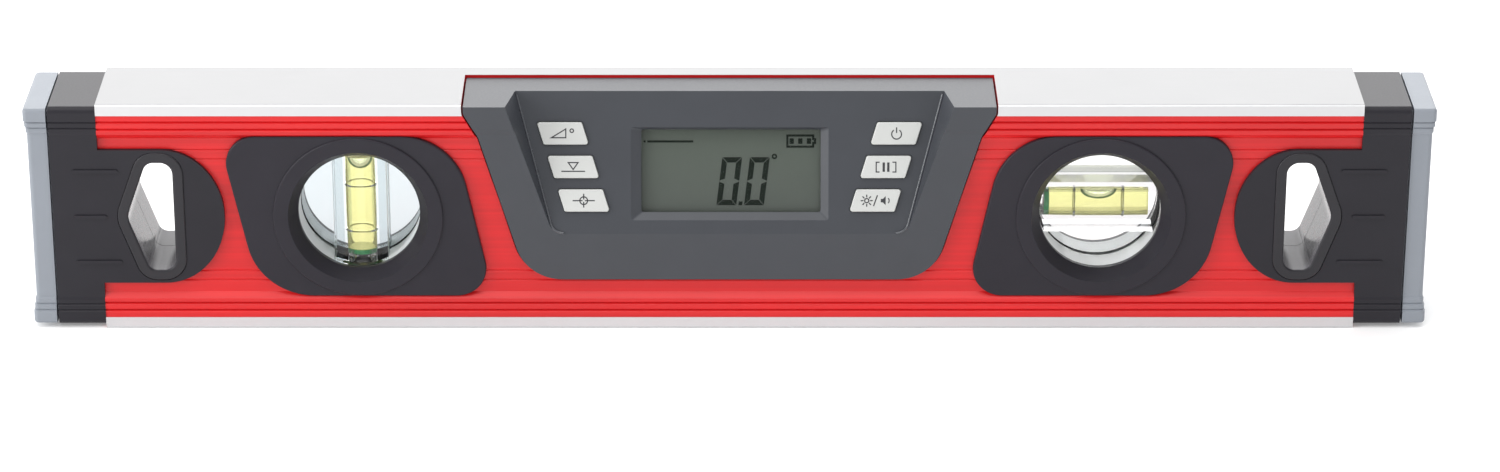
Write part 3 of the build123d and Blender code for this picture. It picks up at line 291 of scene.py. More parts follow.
@dataclass(frozen=True)
class Moulded:
    """Moulded plastic or rubber with an eroded grain.

    Attributes:
        name: Name of the material.
        colour: Linear base colour.
        roughness: Mean roughness.
        specular: Strength of the plain reflection.
        grain: Size of the grain in millimetres.
        grain_depth: Depth of the grain in millimetres.
        mottle: Share by which the colour wanders.
        patch: Size of the colour's patches in millimetres.
        swing: How far the roughness goes to each side of its mean.
    """

    name: str
    colour: Colour
    roughness: float = 0.5
    specular: float = 0.5
    grain: float = 0.35
    grain_depth: float = 0.006
    mottle: float = 0.12
    patch: float = 9.0
    swing: float = 0.06

    def material(self) -> bpy.types.Material:
        """Build the node tree.

        Returns:
            The material.
        """
        draft = MaterialDraft(self.name)
        clouds = draft.noise(self.patch)
        grain = draft.noise(self.grain, detail=2.0)
        return draft.finish({
            "Base Color": draft.mottled(clouds, self.colour, around(1.0, self.mottle)),
            "Roughness": draft.between(grain, around(self.roughness, self.swing)),
            "Specular IOR Level": self.specular,
            "Normal": draft.bump(grain, self.grain_depth),
        })


@dataclass(frozen=True)
class HoleLiner:
    """Moulded lining with a grained lip, polished walls and a worn floor and roof, its walls lighter
    than its lip as painted light.

    Attributes:
        name: Name of the material.
        lip: Linear colour of the lip.
        wall: Linear colour of the walls, the lip's black made lighter as painted light.
        lip_mottle: Darkest and lightest share of the lip's colour.
        wall_mottle: The same of the walls.
        lip_roughness: Roughness of the lip.
        wall_roughness: Least and greatest roughness of the walls.
        wear: Roughness that the floor and the roof add.
        lip_turn: How squarely a face looks forward where the lip starts, and is full.
        floor_turn: How squarely a face looks up where the floor starts, and is full.
        patch: Size of the colour's patches in millimetres.
        grain: Size of the grain in millimetres.
        grain_depth: Depth of the grain in millimetres.
        specular: Strength of the plain reflection.
    """

    name: str
    lip: Colour
    wall: Colour
    lip_mottle: Range = (0.88, 1.12)
    wall_mottle: Range = (0.7, 1.3)
    lip_roughness: float = 0.42
    wall_roughness: Range = (0.1, 0.22)
    wear: float = 0.3
    lip_turn: Range = (0.2, 0.6)
    floor_turn: Range = (0.5, 0.9)
    patch: float = 3.0
    grain: float = 0.5
    grain_depth: float = 0.006
    specular: float = 0.4

    def material(self) -> bpy.types.Material:
        """Build the node tree.

        Returns:
            The material.
        """
        draft = MaterialDraft(self.name)
        clouds = draft.noise(self.patch)
        grain = draft.noise(self.grain, detail=2.0)
        on_lip = draft.facing("Y").rise(*self.lip_turn)
        on_floor = draft.facing("Z").rise(*self.floor_turn)
        lip = draft.mottled(clouds, self.lip, self.lip_mottle)
        # The walls' lighter colour is painted light on the same black plastic as the lip.
        wall = draft.mottled(clouds, self.wall, self.wall_mottle)
        wall_rough = draft.between(clouds, self.wall_roughness) + self.wear * on_floor
        return draft.finish({
            "Base Color": draft.mix(on_lip, wall, lip),
            "Roughness": on_lip * self.lip_roughness + (1 - on_lip) * wall_rough,
            "Specular IOR Level": self.specular,
            "Normal": draft.bump(grain, self.grain_depth),
        })


@dataclass(frozen=True)
class CoatedExtrusion:
    """Red coated aluminium with milled bare measuring faces, its lengths in millimetres.

    Attributes:
        name: Name of the material.
        red: Linear colour of the coat.
        bare: Linear colour of the milled measuring faces, darkened as painted shade against the strong
            light on them.
        strip: Linear colour of the strips beside them, the same milled metal made lighter as painted
            light.
        red_mottle: Darkest and lightest share of the coat's colour.
        bare_mottle: The same of the measuring faces.
        strip_mottle: The same of the strips.
        coat_roughness: Least and greatest roughness of the coat.
        metal_roughness: The same of the bare metal.
        specular: Strength of the plain reflection.
        height: Height of the beam.
        skin: Distances inside a measuring face where its milling starts, and is full.
        lip: Height of the bare strip beside a measuring face.
        lip_blur: Half width of the line between the strip and the coat.
        outside: Half depths where a point starts to count, and counts fully, as outside a pocket.
        patch: Size of the soft patches in the coat's colour.
        streak: Width of the streaks in it.
        streak_share: Share of the streaks, beside the patches.
        die_line: Width of the drawn lines under the coat.
        die_depth: Depth of the drawn lines.
        peel: Size of the coat's dimples.
        peel_depth: Depth of the dimples.
        mill_mark: Width of the marks of milling.
        mill_depth: Depth of these marks.
    """

    name: str = "coated_extrusion"
    red: Colour = (0.625, 0.0095, 0.012)
    # The faces' milled metal is darkened as painted shade, and the strips' same metal is lightened as
    # painted light.
    bare: Colour = (0.275, 0.275, 0.278)
    strip: Colour = (0.65, 0.65, 0.66)
    red_mottle: Range = (0.65, 1.35)
    bare_mottle: Range = (0.94, 1.05)
    strip_mottle: Range = (0.95, 1.03)
    coat_roughness: Range = (0.3, 0.4)
    metal_roughness: Range = (0.4, 0.54)
    specular: float = 0.42
    height: float = 69.0
    skin: Range = (0.12, 0.06)
    lip: float = 3.4
    lip_blur: float = 0.02
    outside: Range = (14.52, 14.55)
    patch: float = 30.0
    streak: float = 1.3
    streak_share: float = 0.6
    die_line: float = 0.5
    die_depth: float = 0.0072
    peel: float = 0.7
    peel_depth: float = 0.003
    mill_mark: float = 0.25
    mill_depth: float = 0.006

    def material(self) -> bpy.types.Material:
        """Build the node tree.

        Returns:
            The material.
        """
        draft = MaterialDraft(self.name)
        face, strip = self._masks(draft)
        bare = face.most(strip)
        coated = 1 - bare
        drawn = draft.noise(self.die_line, stretch=(400, 1, 1), detail=2.0)
        peel = draft.noise(self.peel, detail=1.0)
        milled = draft.noise(self.mill_mark, stretch=(60, 1, 1))
        # Painted shade on the faces' metal, painted light on the strips' same metal.
        metal = draft.mottled(milled, self.bare, self.bare_mottle)
        painted_lit_strip = draft.mottled(milled, self.strip, self.strip_mottle)
        metal_rough = draft.between(milled, self.metal_roughness)
        coat_rough = draft.between(peel, self.coat_roughness)
        coat_height = self.die_depth * drawn + self.peel_depth * peel
        height = bare * (self.mill_depth * milled) + coated * coat_height
        return draft.finish({
            "Base Color": draft.mix(face, draft.mix(strip, self._red(draft), painted_lit_strip), metal),
            "Metallic": bare,
            "Roughness": bare * metal_rough + coated * coat_rough,
            "Specular IOR Level": self.specular,
            "Normal": draft.bump(height),
        })

    def _red(self, draft: MaterialDraft) -> Wire:
        """Colour of the coat.

        Args:
            draft: Material in the making.

        Returns:
            Wire of a red with soft patches and drawn streaks.
        """
        patches = draft.noise(self.patch, stretch=(2, 1, 1))
        streaks = draft.noise(self.streak, stretch=(200, 1, 1), detail=2.0)
        wander = (1 - self.streak_share) * patches + self.streak_share * streaks
        return draft.mottled(wander, self.red, self.red_mottle)

    def _masks(self, draft: MaterialDraft) -> tuple[Wire, Wire]:
        """Where the coat is milled off.

        Args:
            draft: Material in the making.

        Returns:
            Wires of 1 on the measuring faces and on the strips beside them, and 0 elsewhere.
        """
        middle = self.height / 2
        from_middle = abs(draft.axis("Z") - middle * MM)
        depth = abs(draft.axis("Y"))
        face = from_middle.rise(*metres(middle - inside for inside in self.skin))
        lip = from_middle.rise(*metres(around(middle - self.lip, self.lip_blur)))
        outside = depth.rise(*metres(self.outside))
        return face, lip * outside


@dataclass(frozen=True)
class DyedLiquid:
    """Clear liquid with a dye, lightened by a painted glow in the dye's tint.

    Attributes:
        name: Name of the material.
        colour: Linear tint.
        ior: Index of refraction.
        glow: Strength of the painted glow, an emission in the tint that lightens the liquid.
        mottle: Darkest and lightest share of the tint.
        roughness: Least and greatest roughness.
        patch: Size of the tint's patches in millimetres.
    """

    name: str
    colour: Colour
    ior: float = LIQUID_IOR
    glow: float = 0.12
    mottle: Range = (0.97, 1.0)
    roughness: Range = (0.01, 0.02)
    patch: float = 12.0

    def material(self) -> bpy.types.Material:
        """Build the node tree.

        Returns:
            The material.
        """
        draft = MaterialDraft(self.name)
        clouds = draft.noise(self.patch)
        return draft.finish({
            "Base Color": draft.mottled(clouds, self.colour, self.mottle),
            "Roughness": draft.between(clouds, self.roughness),
            "IOR": self.ior,
            "Transmission Weight": 1.0,
            # Painted glow: the liquid gives light in its own tint.
            "Emission Color": opaque(self.colour),
            "Emission Strength": self.glow,
        })


@dataclass(frozen=True)
class ClearBlock:
    """Clear moulding with polished faces, and painted white reflection on the flanks along its bar and
    on its round wall.

    Attributes:
        name: Name of the material.
        across: Axis across the bar.
        centre: Place of the bar's middle on that axis, in millimetres.
        painted_reflection: Share of painted white reflection on the bar's flanks.
        band: Linear tint of the thick strips beside the barrel.
        clear: Linear tint of the rest, away from the barrel.
        over: Linear tint in front of the barrel.
        barrel_edge: Distances from the middle where the barrel starts to end, and has ended.
        bar_edge: The same of the bar.
        clear_mottle: Darkest and lightest share of the clear tint.
        roughness: Least and greatest roughness of the polished faces.
        white: Darkest and lightest linear colour of the painted white reflection.
        painted_reflection_roughness: Roughness of the painted white reflection.
        flank_turn: How squarely a face looks across the bar where a flank starts, and is full.
        rim_painted_reflection: Share of painted white reflection on the round outer wall.
        rim_turn: How squarely a face looks forward where that wall starts to end, and has ended.
        patch: Size of the tint's patches in millimetres.
        ior: Index of refraction.
    """

    name: str
    across: str
    centre: float
    painted_reflection: float
    band: Colour
    clear: Colour
    over: Colour = (0.90, 0.90, 0.90)
    barrel_edge: Range = (4.45, 4.75)
    bar_edge: Range = (7.7, 7.9)
    clear_mottle: Range = (0.99, 1.01)
    roughness: Range = (0.01, 0.03)
    white: tuple[Colour, Colour] = ((0.86, 0.88, 0.9), (0.94, 0.95, 0.96))
    painted_reflection_roughness: float = 0.5
    flank_turn: Range = (0.9, 0.98)
    rim_painted_reflection: float = 0.8
    rim_turn: Range = (0.2, 0.6)
    patch: float = 12.0
    ior: float = 1.49

    def material(self) -> bpy.types.Material:
        """Build the node tree.

        Returns:
            The material.
        """
        draft = MaterialDraft(self.name)
        away = abs(draft.axis(self.across) - self.centre * MM)
        beside = away.rise(*metres(self.barrel_edge))
        inside = 1 - away.rise(*metres(self.bar_edge))
        clouds = draft.noise(self.patch)
        over_bar = draft.tint(beside, self.over, self.band)
        over_web = draft.mottled(clouds, self.clear, self.clear_mottle)
        glass = draft.node("ShaderNodeBsdfPrincipled", sockets={
            "Base Color": draft.mix(inside, over_web, over_bar),
            "Roughness": draft.between(clouds, self.roughness),
            "IOR": self.ior,
            "Transmission Weight": 1.0,
        })
        white = draft.node("ShaderNodeBsdfPrincipled", sockets={
            "Base Color": draft.tint(clouds, *self.white),
            "Roughness": self.painted_reflection_roughness,
        })
        # Painted reflection: white on the bar's flanks and the round wall stands in for light reflected
        # inside the clear block.
        flank = inside * draft.facing(self.across).rise(*self.flank_turn)
        rim = (1 - inside) * (1 - draft.facing("Y").rise(*self.rim_turn))
        sockets = {0: self.painted_reflection * flank + self.rim_painted_reflection * rim, 1: glass, 2: white}
        mixed = draft.node("ShaderNodeMixShader", sockets=sockets)
        draft.node("ShaderNodeOutputMaterial", sockets={"Surface": mixed})
        return draft.material


@dataclass(frozen=True)
class Sheer:
    """Thin clear layer that shows what is behind it without bending it.

    Attributes:
        name: Name of the material.
        colour: Linear tint.
        cover: Mean share of what is behind that it covers.
        cover_swing: Share by which the cover wanders.
        mottle: Darkest and lightest share of the tint.
        roughness: Least and greatest roughness.
        patch: Size of the tint's patches in millimetres.
    """

    name: str
    colour: Colour
    cover: float
    cover_swing: float = 0.1
    mottle: Range = (0.95, 1.0)
    roughness: Range = (0.06, 0.09)
    patch: float = 6.0

    def material(self) -> bpy.types.Material:
        """Build the node tree.

        Returns:
            The material.
        """
        draft = MaterialDraft(self.name)
        clouds = draft.noise(self.patch)
        return draft.finish({
            "Base Color": draft.mottled(clouds, self.colour, self.mottle),
            "Roughness": draft.between(clouds, self.roughness),
            "Alpha": draft.between(clouds, around(self.cover, self.cover * self.cover_swing)),
        })


@dataclass(frozen=True)
class TrappedAir:
    """Bubble in a liquid, which bends light the other way from a drop of glass, and is lightened by a
    painted glow.

    Attributes:
        name: Name of the material.
        colour: Linear tint.
        liquid_ior: Index of refraction of the liquid round it.
        glow: Strength of the painted glow that lightens the bubble.
        mottle: Darkest and lightest share of the tint.
        roughness: Least and greatest roughness.
        patch: Size of the tint's patches in millimetres.
    """

    name: str
    colour: Colour
    liquid_ior: float = LIQUID_IOR
    glow: float = 0.45
    mottle: Range = (0.98, 1.0)
    roughness: Range = (0.01, 0.02)
    patch: float = 6.0

    def material(self) -> bpy.types.Material:
        """Build the node tree.

        Returns:
            The material.
        """
        draft = MaterialDraft(self.name)
        clouds = draft.noise(self.patch)
        return draft.finish({
            "Base Color": draft.mottled(clouds, self.colour, self.mottle),
            "Roughness": draft.between(clouds, self.roughness),
            "IOR": 1 / self.liquid_ior,
            "Transmission Weight": 1.0,
            # Painted glow: the bubble gives light in its own tint, which whitens it.
            "Emission Color": opaque(self.colour),
            "Emission Strength": self.glow,
        })


@dataclass(frozen=True)
class FacedPlug:
    """Coloured plug with a pale inner face.

    Attributes:
        name: Name of the material.
        along: Axis of the plug.
        side: Linear colour of its side.
        face: Linear colour of its faces.
        side_mottle: Darkest and lightest share of the side's colour.
        face_mottle: The same of the faces.
        face_turn: How squarely a surface looks along the axis where a face starts, and is full.
        roughness: Least and greatest roughness.
        patch: Size of the colour's patches in millimetres.
    """

    name: str
    along: str
    side: Colour = (0.03, 0.55, 0.16)
    face: Colour = (0.80, 0.84, 0.62)
    side_mottle: Range = (0.85, 1.15)
    face_mottle: Range = (0.97, 1.0)
    face_turn: Range = (0.8, 0.95)
    roughness: Range = (0.25, 0.35)
    patch: float = 2.0

    def material(self) -> bpy.types.Material:
        """Build the node tree.

        Returns:
            The material.
        """
        draft = MaterialDraft(self.name)
        clouds = draft.noise(self.patch)
        on_face = draft.facing(self.along).rise(*self.face_turn)
        side = draft.mottled(clouds, self.side, self.side_mottle)
        face = draft.mottled(clouds, self.face, self.face_mottle)
        return draft.finish({
            "Base Color": draft.mix(on_face, side, face),
            "Roughness": draft.between(clouds, self.roughness),
        })


@dataclass(frozen=True)
class Plated:
    """Plated or drawn metal with fine scratches.

    Attributes:
        name: Name of the material.
        colour: Linear base colour.
        roughness: Mean roughness.
        swing: How far the roughness goes to each side of its mean.
        mottle: Darkest and lightest share of the colour.
        scratch: Width of a scratch in millimetres.
        scratch_depth: Depth of a scratch in millimetres.
    """

    name: str
    colour: Colour
    roughness: float = 0.32
    swing: float = 0.08
    mottle: Range = (0.88, 1.08)
    scratch: float = 0.3
    scratch_depth: float = 0.002

    def material(self) -> bpy.types.Material:
        """Build the node tree.

        Returns:
            The material.
        """
        draft = MaterialDraft(self.name)
        scratches = draft.noise(self.scratch, stretch=(12, 1, 3))
        return draft.finish({
            "Base Color": draft.mottled(scratches, self.colour, self.mottle),
            "Metallic": 1.0,
            "Roughness": draft.between(scratches, around(self.roughness, self.swing)),
            "Normal": draft.bump(scratches, self.scratch_depth),
        })


@dataclass(frozen=True)
class CrystalDisplay:
    """Grey-green liquid crystal display with its faint row lines, darkened towards its lower edge as
    painted shade.

    Attributes:
        name: Name of the material.
        low: Linear colour at the lower edge, darker as painted shade.
        high: Linear colour at the upper edge.
        foot: Height of the lower edge in millimetres.
        top: Height of the upper edge in millimetres.
        row: Height of a row line in millimetres.
        row_swing: How far a row line shifts the colour to each side.
        roughness: Least and greatest roughness.
        specular: Strength of the plain reflection.
    """

    name: str = "crystal_display"
    low: Colour = (0.078, 0.090, 0.079)
    high: Colour = (0.083, 0.099, 0.083)
    foot: float = 34.0
    top: float = 58.0
    row: float = 0.35
    row_swing: float = 0.06
    roughness: Range = (0.28, 0.38)
    specular: float = 0.35

    def material(self) -> bpy.types.Material:
        """Build the node tree.

        Returns:
            The material.
        """
        draft = MaterialDraft(self.name)
        # Painted shade: the display darkens towards its lower edge.
        up = draft.axis("Z").rise(*metres((self.foot, self.top)))
        rows = draft.noise(self.row, stretch=(40, 1, 1), detail=2.0)
        shift = draft.between(rows, around(0.0, self.row_swing))
        return draft.finish({
            "Base Color": draft.tint(up + shift, self.low, self.high),
            "Roughness": draft.between(rows, self.roughness),
            "Specular IOR Level": self.specular,
        })


@dataclass(frozen=True)
class BandedCell:
    """Printed wrap of a battery cell with bare metal ends, its lengths in millimetres.

    Attributes:
        name: Name of the material.
        wrap: Linear colour of the wrap.
        band: Linear colour of the band at one end.
        metal: Linear colour of the bare ends.
        half: Half length of the wrap.
        band_start: X where the band starts.
        wrap_edge: Half width of the blur at the wrap's ends.
        band_edge: Half width of the blur at the band.
        metal_mottle: Darkest and lightest share of the metal's colour.
        roughness: Least and greatest roughness.
        patch: Size of the metal's patches.
    """

    name: str = "banded_cell"
    wrap: Colour = (0.02, 0.022, 0.026)
    band: Colour = (0.5, 0.27, 0.06)
    metal: Colour = (0.72, 0.71, 0.69)
    half: float = 20.55
    band_start: float = 9.1
    wrap_edge: float = 0.05
    band_edge: float = 0.1
    metal_mottle: Range = (0.9, 1.0)
    roughness: Range = (0.25, 0.4)
    patch: float = 4.0

    def material(self) -> bpy.types.Material:
        """Build the node tree.

        Returns:
            The material.
        """
        draft = MaterialDraft(self.name)
        along = draft.axis("X")
        bare = abs(along).rise(*metres(around(self.half, self.wrap_edge)))
        banded = along.rise(*metres(around(self.band_start, self.band_edge)))
        clouds = draft.noise(self.patch)
        wrap = draft.tint(banded, self.wrap, self.band)
        metal = draft.mottled(clouds, self.metal, self.metal_mottle)
        return draft.finish({
            "Base Color": draft.mix(bare, wrap, metal),
            "Metallic": bare,
            "Roughness": draft.between(clouds, self.roughness),
        })


@dataclass(frozen=True)
class FloorPaint:
    """White paint of a lit table.

    Attributes:
        name: Name of the material.
        white: Brightness of the paint.
        wander: How much darker its patches are.
        patch: Size of the patches in millimetres.
        roughness: Roughness of the paint.
        specular: Strength of the plain reflection.
        glow: Strength of the light from below.
    """

    name: str = "floor_paint"
    white: float = 0.86
    wander: float = 0.01
    patch: float = 40.0
    roughness: float = 0.8
    specular: float = 0.1
    glow: float = 0.2

    def material(self) -> bpy.types.Material:
        """Build the node tree.

        Returns:
            The material.
        """
        draft = MaterialDraft(self.name)
        clouds = draft.noise(self.patch)
        low = self.white - self.wander
        return draft.finish({
            "Base Color": draft.tint(clouds, (low, low, low), (self.white, self.white, self.white)),
            "Roughness": self.roughness,
            "Specular IOR Level": self.specular,
            "Emission Color": opaque((1.0, 1.0, 1.0)),
            "Emission Strength": self.glow,
        })


class Finish(Protocol):
    """What the wardrobe asks of a finish."""

    @property
    def name(self) -> str:
        """Name of the material."""

    def material(self) -> bpy.types.Material:
        """Build the node tree."""


class Wardrobe:
    """Finishes of the level, each built once."""

    grip = Moulded(
        "grip_plastic", (0.0185, 0.0172, 0.0225), roughness=0.42, specular=0.24,
        grain=0.5, grain_depth=0.008,
    )
    # The liner's wall colour is its lip's black made lighter as painted light.
    liner = HoleLiner("hole_liner", lip=(0.0150, 0.0140, 0.0183), wall=(0.105, 0.100, 0.111))
    bezel = Moulded(
        "bezel_plastic", (0.0212, 0.0193, 0.0262), roughness=0.44, specular=0.24,
        grain=0.5, grain_depth=0.008,
    )
    bumper = Moulded(
        "bumper_rubber", (0.245, 0.266, 0.300), roughness=0.5, specular=0.45,
        grain=0.8, grain_depth=0.008, mottle=0.05,
    )
    housing = Moulded(
        "housing_plastic", (0.042, 0.046, 0.0550), roughness=0.46, specular=0.5,
        grain=0.6, grain_depth=0.012, mottle=0.08,
    )
    # The beads wear the housing's plastic made lighter and glossier: the lighter colour is a painted
    # highlight.
    bead = Moulded(
        "bead_plastic_painted_highlight", (0.060, 0.064, 0.074), roughness=0.26, specular=0.7,
        grain=0.6, grain_depth=0.004, mottle=0.08,
    )
    key = Moulded(
        "key_plastic", (0.55, 0.56, 0.545), roughness=0.38, specular=0.5,
        grain=0.4, grain_depth=0.004, mottle=0.02,
    )
    case = Moulded("case_plastic", (0.02, 0.02, 0.023), roughness=0.5)
    chip = Moulded("chip_package", (0.012, 0.012, 0.013), roughness=0.55)
    board = Moulded(
        "board_mask", (0.012, 0.11, 0.04), roughness=0.3, specular=0.5,
        grain=1.5, grain_depth=0.01, mottle=0.2,
    )
    seal = Moulded("seal_rubber", (0.012, 0.012, 0.012), roughness=0.7, specular=0.3)
    strip = Moulded(
        "contact_rubber", (0.03, 0.03, 0.03), roughness=0.65, specular=0.3,
        grain=0.2, grain_depth=0.02, mottle=0.6,
    )
    light_guide = Moulded(
        "light_guide", (0.8, 0.83, 0.74), roughness=0.3, specular=0.5,
        grain=0.5, grain_depth=0.004, mottle=0.03,
    )
    ink = Moulded(
        "key_ink", (0.045, 0.045, 0.05), roughness=0.55, specular=0.3,
        grain=0.2, grain_depth=0.002, mottle=0.3,
    )
    segment = Moulded(
        "display_segment", (0.012, 0.016, 0.013), roughness=0.5, specular=0.05,
        grain=0.6, grain_depth=0.001, mottle=0.2,
    )
    line = Moulded(
        "line_print", (0.46, 0.45, 0.15), roughness=0.5, specular=0.3,
        grain=0.3, grain_depth=0.002, mottle=0.2,
    )
    left_plug = FacedPlug("plumb_plug", along="Z")
    right_plug = FacedPlug("level_plug", along="X")
    # Dark green tube under each bubble: painted shade where the liquid's edge bends the light away.
    meniscus = Moulded(
        "meniscus_edge", (0.006, 0.14, 0.032), roughness=0.6, specular=0.05,
        grain=1.0, grain_depth=0.001, mottle=0.2,
    )
    red_metal = CoatedExtrusion()
    steel = Plated("screw_steel", (0.56, 0.56, 0.57))
    contact = Plated("contact_metal", (0.74, 0.70, 0.60), roughness=0.25)
    # Each block carries a share of painted white reflection on its flanks.
    left_block = ClearBlock(
        "plumb_block", across="X", centre=-105.9, painted_reflection=0.3,
        band=(0.43, 0.50, 0.525), clear=(0.53, 0.58, 0.60),
    )
    right_block = ClearBlock(
        "level_block", across="Z", centre=34.5, painted_reflection=0.4,
        band=(0.46, 0.465, 0.475), clear=(0.86, 0.875, 0.875),
    )
    # The liquid and the air below each give a painted glow in their own tint.
    fluid = DyedLiquid("vial_fluid", (0.72, 0.715, 0.31))
    air = TrappedAir("vial_air", (0.90, 0.95, 1.0))
    window = Sheer("display_window", (0.10, 0.11, 0.105), cover=0.012)
    display = CrystalDisplay()
    cell = BandedCell()

    def __init__(self) -> None:
        """Start with nothing built."""
        self._built: dict[str, bpy.types.Material] = {}

    def get(self, finish: Finish) -> bpy.types.Material:
        """Material of a finish, built on first use.

        Args:
            finish: Finish to build.

        Returns:
            Its material.
        """
        if finish.name not in self._built:
            self._built[finish.name] = finish.material()
        return self._built[finish.name]

    def dress(self, finish: Finish, *nodes: str) -> None:
        """Give CAD nodes a finish.

        Args:
            finish: Finish to wear.
            nodes: Names of the CAD nodes.
        """
        for node in nodes:
            materials = frame["nodes"][node].data.materials
            materials.clear()
            materials.append(self.get(finish))
            LOG.info("node %s wears %s", node, finish.name)


# Meshes

class MeshDraft:
    """A mesh in the making."""

    def __init__(self) -> None:
        """Start with an empty mesh."""
        self.mesh = bmesh.new()

    def prism(self, outline: Sequence[Vector], shift: Vector) -> None:
        """Add a closed prism.

        Args:
            outline: Corners of one end.
            shift: From that end to the other.
        """
        near = [self.mesh.verts.new(point) for point in outline]
        far = [self.mesh.verts.new(point + shift) for point in outline]
        self.mesh.faces.new(near)
        self.mesh.faces.new(far[::-1])
        self._skirt(near, far)

    def loft(self, rings: Sequence[Sequence[Vector]], endless: bool = False) -> None:
        """Add a closed body through rings of equal count.

        Args:
            rings: Corners of each cross-section in order.
            endless: Whether the last ring joins the first, instead of both being filled.
        """
        made = [[self.mesh.verts.new(point) for point in ring] for ring in rings]
        for ring, following in zip(made, made[1:]):
            self._skirt(ring, following)
        if endless:
            self._skirt(made[-1], made[0])
        else:
            self.mesh.faces.new(made[0])
            self.mesh.faces.new(made[-1][::-1])

    def _skirt(self, first: Sequence[bmesh.types.BMVert], second: Sequence[bmesh.types.BMVert]) -> None:
        """Add the quads between two closed rows of vertices.

        Args:
            first: One row.
            second: Another row of equal count.
        """
        for index in range(len(first)):
            after = (index + 1) % len(first)
            self.mesh.faces.new((first[index], first[after], second[after], second[index]))

    def piece(self, name: str, material: bpy.types.Material, body: str, slot: str) -> bpy.types.Object:
        """Close the mesh and make it a piece of the level.

        Args:
            name: Name of the piece.
            material: Its finish.
            body: CAD body that it rides on.
            slot: Not used.

        Returns:
            The new object, at the origin.
        """
        bmesh.ops.recalc_face_normals(self.mesh, faces=self.mesh.faces)
        data = bpy.data.meshes.new(name)
        self.mesh.to_mesh(data)
        self.mesh.free()
        return add_piece(name, data, material, body)


def add_piece(
    name: str, data: bpy.types.Mesh, material: bpy.types.Material, body: str
) -> bpy.types.Object:
    """Put a finished mesh on a CAD body.

    Args:
        name: Name of the piece.
        data: Its mesh, in place.
        material: Its finish.
        body: CAD body that it rides on.

    Returns:
        The new object.
    """
    data.materials.clear()
    data.materials.append(material)
    data.shade_smooth()
    data.set_sharp_from_angle(angle=radians(SHARP_ANGLE))
    made = bpy.data.objects.new(name, data)
    bpy.context.scene.collection.objects.link(made)
    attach(made, body)
    LOG.info("piece %s rides on %s, %d faces", name, body, len(data.polygons))
    return made


# Geometry Nodes

class GeometryTree:
    """Geometry tree with named inputs, which makes plain meshes.

    Attributes:
        name: Name of the node group.
        inputs: Kind of each input, by its name.
    """

    name: str = ""
    inputs: Mapping[str, str] = {}

    def lay(self, draft: NodeDraft, given: Mapping[str, Wire]) -> Wire:
        """Add this tree's own nodes.

        Args:
            draft: Tree in the making.
            given: Wires of the named inputs.

        Returns:
            Wire of the geometry.
        """
        raise NotImplementedError

    def _group(self) -> bpy.types.NodeTree:
        """Node group, built on first use.

        Returns:
            The group.
        """
        known = bpy.data.node_groups.get(self.name)
        if known:
            return known
        group = bpy.data.node_groups.new(self.name, "GeometryNodeTree")
        draft = NodeDraft(group)
        for name, kind in self.inputs.items():
            group.interface.new_socket(name, in_out="INPUT", socket_type=f"NodeSocket{kind}")
        group.interface.new_socket("Shape", in_out="OUTPUT", socket_type="NodeSocketGeometry")
        entry = group.nodes.new("NodeGroupInput")
        given = {socket.name: Wire(draft, socket) for socket in entry.outputs if socket.name}
        shape = self.lay(draft, given)
        real = draft.node("GeometryNodeRealizeInstances", sockets={"Geometry": shape})
        sockets = {"Geometry": real, "Material": given["Finish"]}
        worn = draft.node("GeometryNodeSetMaterial", sockets=sockets)
        draft.node("NodeGroupOutput", sockets={"Shape": worn})
        return group

    def mesh(self, values: Mapping[str, Any], base: Optional[bpy.types.Mesh] = None) -> bpy.types.Mesh:
        """Run the tree once.

        Args:
            values: Values of the named inputs.
            base: Mesh that the tree starts from, if it takes one.

        Returns:
            Plain mesh of the result.
        """
        holder = bpy.data.objects.new(self.name, base or bpy.data.meshes.new(self.name))
        bpy.context.scene.collection.objects.link(holder)
        modifier = holder.modifiers.new(self.name, "NODES")
        modifier.node_group = self._group()
        for socket in modifier.node_group.interface.items_tree:
            if socket.name in values:
                modifier[socket.identifier] = values[socket.name]
        graph = bpy.context.evaluated_depsgraph_get()
        made = bpy.data.meshes.new_from_object(holder.evaluated_get(graph))
        bpy.data.objects.remove(holder)
        return made


class TubeTree(GeometryTree):
    """Round tube along a line of edges.

    Attributes:
        facets: Corners round the tube.
    """

    name = "tube_along_line"
    inputs = {"Line": "Geometry", "Radius": "Float", "Finish": "Material"}
    facets: int = 16

    def lay(self, draft: NodeDraft, given: Mapping[str, Wire]) -> Wire:
        """Sweep a circle along the line.

        Args:
            draft: Tree in the making.
            given: Wires of the named inputs.

        Returns:
            Wire of the tube.
        """
        spine = draft.node("GeometryNodeMeshToCurve", sockets={"Mesh": given["Line"]})
        sockets = {"Resolution": self.facets, "Radius": given["Radius"]}
        ring = draft.node("GeometryNodeCurvePrimitiveCircle", sockets=sockets)
        sockets = {"Curve": spine, "Profile Curve": ring, "Fill Caps": True}
        return draft.node("GeometryNodeCurveToMesh", sockets=sockets)

    def along(
        self, points: Sequence[Vector], radius: float, finish: bpy.types.Material, closed: bool
    ) -> bpy.types.Mesh:
        """Tube through points.

        Args:
            points: Points of the line, in metres.
            radius: Radius in millimetres.
            finish: Material of the tube.
            closed: Whether it ends where it starts.

        Returns:
            Plain mesh of the tube.
        """
        line = bpy.data.meshes.new(self.name)
        count = len(points)
        starts = range(count if closed else count - 1)
        line.from_pydata(points, [(start, (start + 1) % count) for start in starts], [])
        return self.mesh({"Radius": radius * MM, "Finish": finish}, line)


